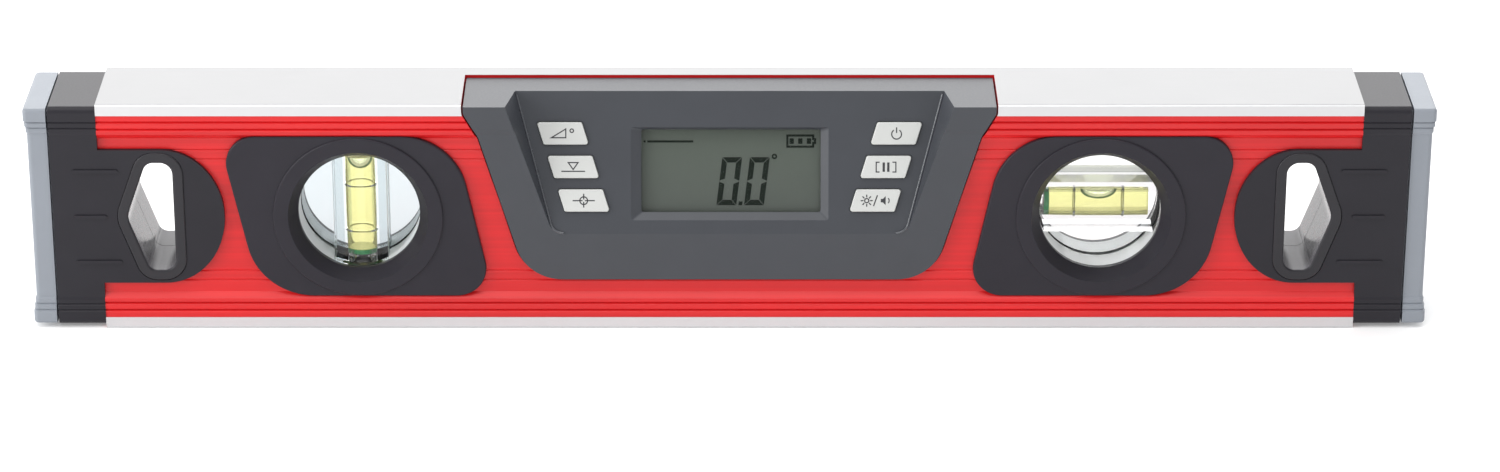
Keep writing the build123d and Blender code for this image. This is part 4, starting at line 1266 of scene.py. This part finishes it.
class BarRowTree(GeometryTree):
    """Row of equal flat bars."""

    name = "bar_row"
    inputs = {
        "Start": "Vector",
        "Step": "Vector",
        "Count": "Int",
        "Size": "Vector",
        "Turn": "Vector",
        "Finish": "Material",
    }

    def lay(self, draft: NodeDraft, given: Mapping[str, Wire]) -> Wire:
        """Put a bar on each point of a line.

        Args:
            draft: Tree in the making.
            given: Wires of the named inputs.

        Returns:
            Wire of the bars.
        """
        sockets = {"Count": given["Count"], "Start Location": given["Start"], "Offset": given["Step"]}
        places = draft.node("GeometryNodeMeshLine", {"mode": "OFFSET"}, sockets)
        bar = draft.node("GeometryNodeMeshCube", sockets={"Size": given["Size"]})
        turn = draft.node("FunctionNodeEulerToRotation", sockets={0: given["Turn"]})
        sockets = {"Points": places, "Instance": bar, "Rotation": turn}
        return draft.node("GeometryNodeInstanceOnPoints", sockets=sockets)


# Sub-assemblies

@dataclass
class Beam:
    """Box extrusion.

    Attributes:
        wardrobe: Finishes.
    """

    wardrobe: Wardrobe

    def build(self) -> None:
        """Dress the extrusion."""
        self.wardrobe.dress(Wardrobe.red_metal, "beam")


@dataclass
class EndGrip:
    """End cap, bumper and hand hole of one end.

    Attributes:
        side: End of the level.
        wardrobe: Finishes.
    """

    side: Side
    wardrobe: Wardrobe

    def build(self) -> None:
        """Dress the nodes of this end."""
        word = self.side.word
        self.wardrobe.dress(Wardrobe.grip, f"{word}_end_cap")
        self.wardrobe.dress(Wardrobe.liner, f"{word}_liner_front", f"{word}_liner_rear")
        self.wardrobe.dress(Wardrobe.bumper, f"{word}_bumper")
        self.wardrobe.dress(Wardrobe.steel, f"{word}_cap_screws")


@dataclass
class Vial:
    """Clear block of one side with its liquid, lines, plug and bubble.

    Attributes:
        side: Side of the level.
        wardrobe: Finishes.
        reach: Distance of the vial from the middle of the level.
        mid: Height of the block's middle.
        half_length: Half length of the barrel.
        radius: Radius of the barrel at its middle.
        end_radius: Radius of the barrel at its ends.
        film: How far the liquid reaches into the block's wall, so that the two surfaces never coincide.
        dip: How far it reaches into the plug at its lower or inner end.
        dome: Half width and height of the standing bubble.
        lens: Half length and height of the lying bubble.
        lens_half_width: Half width of the lying bubble.
        air_gap: Space above a bubble.
        air_clear: Space between a bubble's sides and the barrel.
        rim: Radius of the painted dark edge under a bubble.
        line_places: Places of the two lines along the standing and the lying barrel.
        line_radius: Radius of a line's ring.
        line_thickness: Radius of the line itself.
        facets: Points round a circle.
        rings: Cross-sections along the barrel.
    """

    side: Side
    wardrobe: Wardrobe
    reach: float = 105.9
    mid: float = 34.5
    half_length: float = 14.2
    radius: float = 4.35
    end_radius: float = 4.2
    film: float = 0.03
    dip: float = 0.25
    dome: Point = (3.3, 3.2)
    lens: Point = (4.5, 2.6)
    lens_half_width: float = 3.0
    air_gap: float = 0.3
    air_clear: float = 0.05
    rim: float = 0.36
    line_places: tuple[Point, Point] = ((-8.5, 5.5), (-7.0, 7.0))
    line_radius: float = 4.5
    line_thickness: float = 0.15
    facets: int = 72
    rings: int = 16

    @property
    def middle(self) -> Vector:
        """Middle of the barrel, in metres."""
        return Vector((self.side.value * self.reach, 0.0, self.mid)) * MM

    @property
    def standing(self) -> bool:
        """Whether the barrel stands upright."""
        return self.side is Side.LEFT

    def turned(self, along: float, one: float, other: float) -> Vector:
        """Point from its place along and across the barrel, in metres."""
        offset = Vector((one, other, along)) if self.standing else Vector((along, other, one))
        return self.middle + offset * MM

    def build(self) -> None:
        """Dress the nodes and add the liquid, the lines, the air and a painted dark edge under it."""
        word = self.side.word
        dress = self.wardrobe.dress
        dress(Wardrobe.bezel, f"{word}_bezel_front", f"{word}_bezel_rear")
        dress(Wardrobe.steel, f"{word}_bezel_screws")
        dress(Wardrobe.left_block if self.standing else Wardrobe.right_block, f"{word}_vial_block")
        dress(Wardrobe.left_plug if self.standing else Wardrobe.right_plug, f"{word}_vial_plug")
        self._liquid(f"{word}_liquid", f"{word}_vial_fluid")
        self._air(f"{word}_air", f"{word}_bubble")
        self._painted_bubble_edge(f"{word}_painted_bubble_edge", f"{word}_bubble")
        self._lines(f"{word}_lines", f"{word}_vial_lines")

    def _liquid(self, name: str, node: str) -> None:
        """Crowned column of liquid in place of the CAD one.

        Args:
            name: Name of the piece.
            node: CAD node that it stands for.
        """
        draft = MeshDraft()
        sections = []
        for index in range(self.rings + 1):
            share = 2 * index / self.rings - 1
            end = self.dip if share < 0 else self.film
            radius = self.radius - (self.radius - self.end_radius) * share**2 + self.film
            sections.append(self._circle(share * (self.half_length + end), radius))
        draft.loft(sections)
        made = draft.piece(name, self.wardrobe.get(Wardrobe.fluid), BODY, "vial_fluid")
        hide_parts(node)

    def _circle(self, along: float, radius: float) -> list[Vector]:
        """Circle across the barrel.

        Args:
            along: Place along the barrel.
            radius: Radius of the circle.

        Returns:
            Points of the circle.
        """
        turns = [2 * pi * step / self.facets for step in range(self.facets)]
        return [self.turned(along, radius * cos(turn), radius * sin(turn)) for turn in turns]

    def _air(self, name: str, node: str) -> None:
        """Round-bottomed air under the top of the barrel, in place of the CAD bubble.

        Args:
            name: Name of the piece.
            node: CAD node that it stands for, which is also its body.
        """
        draft = MeshDraft()
        draft.loft([self._air_ring(pi / 2 * step / self.rings) for step in range(self.rings)])
        made = draft.piece(name, self.wardrobe.get(Wardrobe.air), node, "vial_air")
        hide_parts(node)

    def _air_ring(self, lean: float) -> list[Vector]:
        """Level outline of the air.

        Args:
            lean: How far round its lower side the outline is, from 0 to pi / 2.

        Returns:
            Points of the outline, inside the barrel.
        """
        wide, down = self.dome if self.standing else self.lens
        deep = wide if self.standing else self.lens_half_width
        level = self._air_top - down * sin(lean)
        room = deep if self.standing else sqrt((self.end_radius - self.air_clear) ** 2 - level**2)
        outline = []
        for step in range(self.facets):
            turn = 2 * pi * step / self.facets
            beside = wide * cos(lean) * cos(turn)
            behind = deep * cos(lean) * sin(turn)
            outline.append(self.upright(beside, max(-room, min(room, behind)), level))
        return outline

    @property
    def _air_top(self) -> float:
        """Height of the bubble's top above the middle of the barrel."""
        return (self.half_length if self.standing else self.radius) - self.air_gap

    def upright(self, x: float, y: float, z: float) -> Vector:
        """Point from its place beside, behind and above the barrel's middle, in metres."""
        return self.middle + Vector((x, y, z)) * MM

    def _painted_bubble_edge(self, name: str, body: str) -> None:
        """Dark line from side to side under the bubble: painted shade where the liquid's edge bends the
        light away.

        Args:
            name: Name of the piece.
            body: CAD body of the bubble.
        """
        wide, down = (half + self.rim for half in (self.dome if self.standing else self.lens))
        turns = [pi * step / self.facets for step in range(self.facets + 1)]
        line = [self.upright(wide * cos(turn), 0.0, self._air_top - down * sin(turn)) for turn in turns]
        finish = self.wardrobe.get(Wardrobe.meniscus)
        tube = TubeTree().along(line, self.rim, finish, False)
        add_piece(name, tube, finish, body)

    def _lines(self, name: str, node: str) -> None:
        """Two thin ring lines round the barrel, in place of the CAD ones.

        Args:
            name: Name of the first ring, to which the second adds a digit.
            node: CAD node that they stand for.
        """
        finish = self.wardrobe.get(Wardrobe.line)
        places = self.line_places[0 if self.standing else 1]
        for number, along in enumerate(places, 1):
            ring = self._circle(along, self.line_radius)
            tube = TubeTree().along(ring, self.line_thickness, finish, True)
            made = add_piece(f"{name}_{number}", tube, finish, BODY)
            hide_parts(node)


@dataclass(frozen=True)
class TiltedPanel:
    """Plane of the display panel.

    Attributes:
        depth: Y of its lower edge.
        height: Z of its lower edge.
        tilt: Lean to the back in degrees.
    """

    depth: float = -14.6
    height: float = 29.3
    tilt: float = 17.5

    @property
    def outward(self) -> Vector:
        """Normal out of the panel."""
        return Vector((0, -cos(radians(self.tilt)), sin(radians(self.tilt))))

    def at(self, x: float, up: float, proud: float) -> Vector:
        """Point in metres.

        Args:
            x: Along the level.
            up: Up the slope from the panel's lower edge.
            proud: In front of the panel's face.

        Returns:
            The point.
        """
        foot = Vector((x, self.depth, self.height))
        slope = Vector((0, sin(radians(self.tilt)), cos(radians(self.tilt))))
        return (foot + slope * up + self.outward * proud) * MM


@dataclass
class PanelMarks:
    """Flat shapes on the tilted panel, gathered into one piece.

    Attributes:
        panel: Plane that they lie in.
        proud: Height of their faces in front of it.
        thickness: Thickness of a shape.
        origin: Place that their own coordinates start from.
        slant: Lean to the right for each millimetre up.
        draft: Mesh in the making.
        arc_step: Angle between two points of an arc, in degrees.
        least_steps: Fewest steps in an arc.
    """

    panel: TiltedPanel
    proud: float
    thickness: float
    origin: Point = (0.0, 0.0)
    slant: float = 0.0
    draft: MeshDraft = field(default_factory=MeshDraft)
    arc_step: float = 15.0
    least_steps: int = 6

    def shape(self, outline: Sequence[Point]) -> None:
        """Add a filled shape."""
        corners = [self._corner(x, up) for x, up in outline]
        self.draft.prism(corners, -self.panel.outward * self.thickness * MM)

    def _corner(self, x: float, up: float) -> Vector:
        """Corner of a shape on the panel, in metres."""
        return self.panel.at(self.origin[0] + x + self.slant * up, self.origin[1] + up, self.proud)

    def band(self, inner: Sequence[Point], outer: Sequence[Point], closed: bool) -> None:
        """Add a strip between two edges of equal count.

        Args:
            inner: Points of one edge.
            outer: Points of the other edge.
            closed: Whether the strip ends where it starts.
        """
        shift = -self.panel.outward * self.thickness * MM
        faces = [(self._corner(*near), self._corner(*far)) for near, far in zip(inner, outer)]
        self.draft.loft([(near, far, far + shift, near + shift) for near, far in faces], closed)

    def stroke(self, points: Sequence[Point], width: float, closed: bool = False) -> None:
        """Add a line of even width with mitred corners and square ends.

        Args:
            points: Corners of the line.
            width: Width of the line.
            closed: Whether it ends where it starts.
        """
        corners = [Vector(point) for point in points]
        following = corners[1:] + corners[:1]
        runs = [(after - corner).normalized() for corner, after in zip(corners, following)]
        if not closed:
            runs[-1] = runs[-2]
            corners[0] -= runs[0] * width / 2
            corners[-1] += runs[-1] * width / 2
        inner, outer = [], []
        for index, (corner, run) in enumerate(zip(corners, runs)):
            before = runs[index - 1] if closed or index else run
            across = Vector((-before.y - run.y, before.x + run.x))
            mitre = across / (1 + before.dot(run)) * width / 2
            inner.append(corner - mitre)
            outer.append(corner + mitre)
        self.band(inner, outer, closed)

    def ring(
        self, centre: Point, radius: float, width: float, start: float = 0.0, sweep: float = FULL_TURN
    ) -> None:
        """Add a ring or an arc of even width.

        Args:
            centre: Middle of the ring.
            radius: Radius of its middle line.
            width: Width of its line.
            start: Angle where it starts, in degrees.
            sweep: Angle that it covers, in degrees.
        """
        steps = max(self.least_steps, round(sweep / self.arc_step))
        closed = sweep == FULL_TURN
        count = steps if closed else steps + 1
        turns = [radians(start + sweep * step / steps) for step in range(count)]
        inner, outer = (
            [(centre[0] + reach * cos(turn), centre[1] + reach * sin(turn)) for turn in turns]
            for reach in around(radius, width / 2)
        )
        self.band(inner, outer, closed)


@dataclass
class Display:
    """Liquid crystal display with its reading.

    Attributes:
        panel: Plane of the panel.
        wardrobe: Finishes.
        depth: Front of the display glass behind the panel's face.
        ink_proud: How far the reading stands in front of the glass.
        ink_thickness: Thickness of the reading.
        digit_width: Width of a digit.
        digit_height: Height of a digit.
        digit_foot: Lower edge of the digits up the slope.
        digit_places: Left edges of the digits.
        bar: Width of a segment.
        gap: Space between two segments.
        slant: Lean of the digits.
        dot: Side of the decimal point.
        dot_x: Left edge of the decimal point.
        degree: Place of the degree ring.
        degree_radius: Radius of its middle line.
        degree_line: Width of its line.
        battery: Lower left corner of the battery sign.
        battery_size: Its width and height.
        charge: Bars inside it.
        rule: Ends of the short line at the upper left.
        rule_up: Height of that line up the slope.
        rule_dot: Side of the dot before that line.
        rule_space: Space between the dot and the line.
        line_width: Width of thin lines.
        pane_size: Width and height of the clear sheet.
        pane_up: Its middle up the slope.
        pane_depth: Its front behind the panel's face.
        pane_thickness: Its thickness, a little short of the display.
        pane_bevel: Bevel round its front.
    """

    panel: TiltedPanel
    wardrobe: Wardrobe
    depth: float = 3.4
    ink_proud: float = 0.05
    ink_thickness: float = 0.06
    digit_width: float = 5.7
    digit_height: float = 13.8
    digit_foot: float = 7.9
    digit_places: tuple[float, float] = (-3.8, 4.1)
    bar: float = 1.55
    gap: float = 0.12
    slant: float = 0.124
    dot: float = 1.1
    dot_x: float = 2.5
    degree: Point = (12.8, 21.9)
    degree_radius: float = 0.55
    degree_line: float = 0.5
    battery: Point = (16.5, 24.7)
    battery_size: Point = (7.4, 3.2)
    charge: int = 3
    rule: Point = (-23.2, -10.7)
    rule_up: float = 26.2
    rule_dot: float = 0.6
    rule_space: float = 0.8
    line_width: float = 0.62
    pane_size: Point = (58.8, 29.0)
    pane_up: float = 17.2
    pane_depth: float = 2.42
    pane_thickness: float = 0.88
    pane_bevel: float = 0.3

    def build(self) -> None:
        """Dress the display stack and draw the reading."""
        dress = self.wardrobe.dress
        dress(Wardrobe.display, "display_panel")
        dress(Wardrobe.light_guide, "backlight_panel")
        dress(Wardrobe.strip, "contact_strips")
        self._pane("window_pane", "display_window")
        self._digits()
        self._signs()

    def _pane(self, name: str, node: str) -> None:
        """Clear sheet with bevelled edges, clear of the display behind it, in place of the CAD one.

        Args:
            name: Name of the piece.
            node: CAD node that it stands for.
        """
        half_wide, half_high = self.pane_size[0] / 2, self.pane_size[1] / 2
        front, bevel = self.pane_depth, self.pane_bevel
        sections = [(bevel, front), (0.0, front + bevel), (0.0, front + self.pane_thickness)]
        draft = MeshDraft()
        draft.loft([
            [
                self.panel.at(x * (half_wide - trim), self.pane_up + up * (half_high - trim), -depth)
                for x, up in ((-1, -1), (1, -1), (1, 1), (-1, 1))
            ]
            for trim, depth in sections
        ])
        made = draft.piece(name, self.wardrobe.get(Wardrobe.window), BODY, "display_clear")
        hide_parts(node)

    def _marks(self, origin: Point, slant: float) -> PanelMarks:
        """Empty marks on the display glass."""
        return PanelMarks(self.panel, self.ink_proud - self.depth, self.ink_thickness, origin, slant)

    def _digits(self) -> None:
        """Two noughts with a point between them."""
        marks = self._marks((0.0, self.digit_foot), self.slant)
        for left in self.digit_places:
            for outline in self._nought():
                marks.shape([(left + x, up) for x, up in outline])
        marks.shape(self._box(self.dot_x, 0.0, self.dot, self.dot))
        ink = self.wardrobe.get(Wardrobe.segment)
        marks.draft.piece("display_digits", ink, BODY, "line_black")

    def _nought(self) -> list[list[Point]]:
        """Six segments of a nought, from its lower left corner.

        Returns:
            Outline of each segment.
        """
        wide, high, bar, gap = self.digit_width, self.digit_height, self.bar, self.gap
        middle, under = high / 2, high - bar
        cap = [(gap, high), (wide - gap, high), (wide - bar - gap, under), (bar + gap, under)]
        left = [(0, high - gap), (bar, under - gap), (bar, middle + bar / 2), (0, middle + gap)]
        right = [(wide - x, up) for x, up in left]
        upper = [cap, left, right]
        lower = [[(x, high - up) for x, up in outline] for outline in upper]
        return upper + lower

    @staticmethod
    def _box(x: float, up: float, width: float, height: float) -> list[Point]:
        """Rectangle from its lower left corner."""
        return [(x, up), (x + width, up), (x + width, up + height), (x, up + height)]

    def _signs(self) -> None:
        """Degree ring, battery sign and short line."""
        marks = self._marks((0.0, 0.0), 0.0)
        marks.ring(self.degree, self.degree_radius, self.degree_line)
        x, up = self.battery
        wide, high = self.battery_size
        nub = high / 3
        body = [
            (x, up),
            (x + wide, up),
            (x + wide, up + nub),
            (x + wide + nub / 2, up + nub),
            (x + wide + nub / 2, up + high - nub),
            (x + wide, up + high - nub),
            (x + wide, up + high),
            (x, up + high),
        ]
        marks.stroke(body, self.line_width, True)
        start, end = self.rule
        marks.stroke([(start, self.rule_up), (end, self.rule_up)], self.line_width)
        dot = self.rule_dot
        marks.shape(self._box(start - self.rule_space - dot, self.rule_up - dot / 2, dot, dot))
        ink = self.wardrobe.get(Wardrobe.segment)
        marks.draft.piece("display_signs", ink, BODY, "line_black")
        self._charge_bars(ink)

    def _charge_bars(self, ink: bpy.types.Material) -> None:
        """Bars inside the battery sign.

        Args:
            ink: Material of the display's segments.
        """
        x, up = self.battery
        wide, high = self.battery_size
        cell = wide / self.charge
        proud = self.ink_proud - self.ink_thickness / 2 - self.depth
        values = {
            "Start": self.panel.at(x + cell / 2, up + high / 2, proud),
            "Step": Vector((cell * MM, 0.0, 0.0)),
            "Count": self.charge,
            "Size": Vector((cell / 2, high / 2, self.ink_thickness)) * MM,
            "Turn": Vector((pi / 2 - radians(self.panel.tilt), 0.0, 0.0)),
            "Finish": ink,
        }
        add_piece("display_charge_bars", BarRowTree().mesh(values), ink, BODY)


class Sign(Enum):
    """Pictogram of a button, by the button's name."""

    UNITS = "units"
    REFERENCE = "reference"
    CALIBRATE = "calibrate"
    POWER = "power"
    HOLD = "hold"
    LIGHT = "light"


@dataclass
class Keypad:
    """Six buttons with their pictograms.

    Attributes:
        panel: Plane of the panel.
        wardrobe: Finishes.
        first_x: Lowest button's middle from the middle of the level.
        first_up: Its height up the slope.
        pitch: Step up the slope.
        lean: Step outwards for each millimetre up.
        proud: Height of a button's face in front of the panel.
        ink_proud: How far a pictogram stands in front of its button.
        ink_thickness: Thickness of a pictogram.
        line: Width of a pictogram's lines.
        columns: Buttons of the left and right column from the lowest up.
    """

    panel: TiltedPanel
    wardrobe: Wardrobe
    first_x: float = 41.6
    first_up: float = 9.6
    pitch: float = 9.6
    lean: float = 0.31
    proud: float = 0.9
    ink_proud: float = 0.015
    ink_thickness: float = 0.03
    line: float = 0.34
    columns: tuple[tuple[Sign, Sign, Sign], ...] = (
        (Sign.CALIBRATE, Sign.REFERENCE, Sign.UNITS),
        (Sign.LIGHT, Sign.HOLD, Sign.POWER),
    )

    def build(self) -> None:
        """Dress the buttons and print their signs."""
        for side, column in zip(Side, self.columns):
            for row, sign in enumerate(column):
                self.wardrobe.dress(Wardrobe.key, f"{sign.value}_button")
                up = self.first_up + row * self.pitch
                x = side.value * (self.first_x + row * self.pitch * self.lean)
                self._print(sign, (x, up))

    def _print(self, sign: Sign, place: Point) -> None:
        """Print one sign on its button.

        Args:
            sign: Pictogram.
            place: Middle of the button on the panel.
        """
        marks = PanelMarks(self.panel, self.proud + self.ink_proud, self.ink_thickness, place)
        painters: dict[Sign, Callable[[PanelMarks], None]] = {
            Sign.UNITS: self._units,
            Sign.REFERENCE: self._reference,
            Sign.CALIBRATE: self._calibrate,
            Sign.POWER: self._power,
            Sign.HOLD: self._hold,
            Sign.LIGHT: self._light,
        }
        painters[sign](marks)
        body = f"{sign.value}_button"
        marks.draft.piece(f"{sign.value}_sign", self.wardrobe.get(Wardrobe.ink), body, "line_black")

    def _units(self, marks: PanelMarks) -> None:
        """Slope with a degree ring."""
        marks.stroke([(-3.2, -1.2), (0.9, -1.2), (0.9, 1.3)], self.line, True)
        marks.ring((2.6, 0.8), 0.5, self.line)

    def _reference(self, marks: PanelMarks) -> None:
        """Datum triangle on a line."""
        marks.stroke([(-1.4, 1.3), (1.4, 1.3), (0.0, -0.7)], self.line, True)
        marks.stroke([(-3.2, -1.2), (3.2, -1.2)], self.line)

    def _calibrate(self, marks: PanelMarks) -> None:
        """Ring with cross hairs.

        Args:
            marks: Marks to draw on.
        """
        marks.ring((0.0, 0.0), 1.1, self.line)
        for x, up in ((1, 0), (-1, 0), (0, 1), (0, -1)):
            reach = 3.0 if x else 1.8
            marks.stroke([(0.5 * x, 0.5 * up), (reach * x, reach * up)], self.line)

    def _power(self, marks: PanelMarks) -> None:
        """Open ring with a bar."""
        marks.ring((0.0, -0.2), 1.4, self.line, 125, 290)
        marks.stroke([(0.0, 0.3), (0.0, 1.6)], self.line)

    def _hold(self, marks: PanelMarks) -> None:
        """Two upright bars between brackets.

        Args:
            marks: Marks to draw on.
        """
        bar = [(0.65, -1.0), (0.65, 1.0)]
        bracket = [(2.0, 1.4), (2.8, 1.4), (2.8, -1.4), (2.0, -1.4)]
        for side in Side:
            marks.stroke([(side.value * x, up) for x, up in bar], 2 * self.line)
            marks.stroke([(side.value * x, up) for x, up in bracket], self.line)

    def _light(self, marks: PanelMarks) -> None:
        """Lamp, slash and loudspeaker.

        Args:
            marks: Marks to draw on.
        """
        lamp, ray, rays = (-2.5, 0.0), (1.1, 1.55), 8
        x, up = lamp
        marks.ring(lamp, 0.6, self.line)
        for step in range(rays):
            turn = radians(FULL_TURN * step / rays)
            ends = [(x + reach * cos(turn), up + reach * sin(turn)) for reach in ray]
            marks.stroke(ends, self.line)
        marks.stroke([(-0.5, -1.4), (0.5, 1.4)], self.line)
        marks.shape([(1.5, -0.5), (2.1, -0.5), (2.9, -1.3), (2.9, 1.3), (2.1, 0.5), (1.5, 0.5)])
        marks.ring((2.9, 0.0), 1.0, self.line, -45, 90)


@dataclass
class Electronics:
    """Housing, circuit board and battery side.

    Attributes:
        panel: Plane of the panel.
        wardrobe: Finishes.
        foot_half: Half width of the panel at its lower edge.
        slope: How much it grows for each millimetre up.
        corner: Radius of its lower corners.
        top: Where the beads along its sides end, up the slope.
        bead: Radius of a bead.
        bead_inset: How far its axis is inside the panel's edge.
        bead_proud: How far its axis is in front of the panel's face.
        steps: Steps round a corner.
    """

    panel: TiltedPanel
    wardrobe: Wardrobe
    foot_half: float = 50.5
    slope: float = 0.26
    corner: float = 4.0
    top: float = 40.0
    bead: float = 0.4
    bead_inset: float = 0.2
    bead_proud: float = 0.4 / 3
    steps: int = 10

    def build(self) -> None:
        """Dress every node of the insert and add the beads of the panel's sides."""
        dress = self.wardrobe.dress
        dress(Wardrobe.housing, "display_housing")
        dress(Wardrobe.board, "main_board")
        dress(Wardrobe.chip, "processor", "tilt_sensor", "buzzer", "button_switches")
        dress(Wardrobe.case, "rear_case", "battery_door")
        dress(Wardrobe.seal, "case_gasket", "battery_door_seal")
        dress(Wardrobe.steel, "board_screws", "case_screws", "battery_door_screws")
        dress(Wardrobe.cell, "cells")
        dress(Wardrobe.contact, "battery_contacts")
        # The beads' lighter plastic is a painted highlight along the panel's sides.
        finish = self.wardrobe.get(Wardrobe.bead)
        for side in Side:
            tube = TubeTree().along(self._bead_line(side), self.bead, finish, False)
            add_piece(f"{side.word}_panel_bead", tube, finish, BODY)

    def _bead_line(self, side: Side) -> list[Vector]:
        """Line down one side of the panel and round its lower corner.

        Args:
            side: Side of the level.

        Returns:
            Points in metres.
        """
        lean = atan(self.slope)
        radius = self.corner - self.bead_inset
        tangent = self.corner * tan(pi / 4 - lean / 2)
        centre_x = self.foot_half - tangent
        outline = [(self.foot_half + self.slope * self.top - self.bead_inset, self.top)]
        for step in range(self.steps + 1):
            turn = -lean - (pi / 2 - lean) * step / self.steps
            outline.append((centre_x + radius * cos(turn), self.corner + radius * sin(turn)))
        return [self.panel.at(side.value * x, up, self.bead_proud) for x, up in outline]


# Studio

@dataclass
class Lamp:
    """Soft area light.

    Attributes:
        name: Name of the light.
        place: Where it hangs, in metres.
        target: What it faces, in metres.
        size: Width and height in metres.
        watts: Power.
    """

    name: str
    place: Place
    target: Place
    size: Point
    watts: float

    def build(self) -> None:
        """Hang the light."""
        data = bpy.data.lights.new(self.name, "AREA")
        data.shape = "RECTANGLE"
        data.size, data.size_y = self.size
        data.energy = self.watts
        lamp = bpy.data.objects.new(self.name, data)
        bpy.context.scene.collection.objects.link(lamp)
        lamp.location = self.place
        aim = Vector(self.target) - Vector(self.place)
        lamp.rotation_euler = aim.to_track_quat("-Z", "Y").to_euler()


@dataclass
class Studio:
    """Pale floor, soft light and the camera.

    Attributes:
        elevation: Height of the camera above the horizon, in degrees.
        distance: Distance from the target in metres.
        target: Point on the camera's axis, in metres.
        focal_pixels: Focal length in pixels of the photograph.
        frame: Width and height of the photograph in pixels.
        axis_pixel: Pixel that the camera's axis goes through.
        floor_half: Half the side of the floor in metres.
        floor_paint: Finish of the floor.
        sky: Strength of the even light from all round.
        lamps: Area lights.
    """

    elevation: float = 22.7
    distance: float = 1.36649
    target: Place = (0.0, 0.0, 0.035)
    focal_pixels: float = 4746.5
    frame: tuple[int, int] = (1500, 472)
    axis_pixel: Point = (729.6, 195.7)
    floor_half: float = 6.0
    floor_paint: FloorPaint = FloorPaint()
    sky: float = 0.66
    lamps: tuple[Lamp, ...] = (
        Lamp("key_light", (-0.1, -0.2, 1.1), target=(0.0, 0.0, 0.0), size=(0.9, 0.9), watts=7.0),
        Lamp("back_light", (0.0, 1.5, 0.75), target=(0.0, 0.0, 0.05), size=(3.0, 1.2), watts=36.0),
        Lamp("side_light", (-1.5, -0.6, 0.6), target=(0.0, 0.0, 0.04), size=(0.8, 0.8), watts=16.0),
    )

    def build(self) -> None:
        """Set up the floor, the light and the camera."""
        bpy.context.scene.view_settings.view_transform = "Standard"
        self._floor()
        self._sky()
        for lamp in self.lamps:
            lamp.build()
        self._camera()

    def _floor(self) -> None:
        """Lay a plain pale floor."""
        half = self.floor_half
        corners = [(-half, -half, 0), (half, -half, 0), (half, half, 0), (-half, half, 0)]
        data = bpy.data.meshes.new("floor")
        data.from_pydata(corners, [], [range(len(corners))])
        data.materials.append(self.floor_paint.material())
        floor = bpy.data.objects.new("floor", data)
        bpy.context.scene.collection.objects.link(floor)

    def _sky(self) -> None:
        """Light the scene evenly from all round."""
        world = bpy.data.worlds.new("studio")
        world.use_nodes = True
        background = world.node_tree.nodes["Background"]
        background.inputs["Color"].default_value = opaque((1.0, 1.0, 1.0))
        background.inputs["Strength"].default_value = self.sky
        bpy.context.scene.world = world

    def _camera(self) -> None:
        """Set the camera at the photograph's angle."""
        wide, high = self.frame
        data = bpy.data.cameras.new("camera")
        data.lens = self.focal_pixels / wide * data.sensor_width
        data.shift_x = (wide / 2 - self.axis_pixel[0]) / wide
        data.shift_y = (self.axis_pixel[1] - high / 2) / wide
        camera = bpy.data.objects.new("camera", data)
        bpy.context.scene.collection.objects.link(camera)
        rise = radians(self.elevation)
        camera.location = Vector(self.target) + Vector((0, -cos(rise), sin(rise))) * self.distance
        camera.rotation_euler = (pi / 2 - rise, 0, 0)
        bpy.context.scene.camera = camera


def main() -> None:
    """Build the level's looks and the studio round it."""
    logging.basicConfig(level=logging.INFO, format="%(name)s: %(message)s")
    wardrobe = Wardrobe()
    panel = TiltedPanel()
    assemblies = [
        Beam(wardrobe),
        Electronics(panel, wardrobe),
        Display(panel, wardrobe),
        Keypad(panel, wardrobe),
    ]
    for side in Side:
        assemblies += [EndGrip(side, wardrobe), Vial(side, wardrobe)]
    for assembly in assemblies:
        assembly.build()
        LOG.info("built %s", type(assembly).__name__)
    Studio().build()


if __name__ == "__main__":
    main()
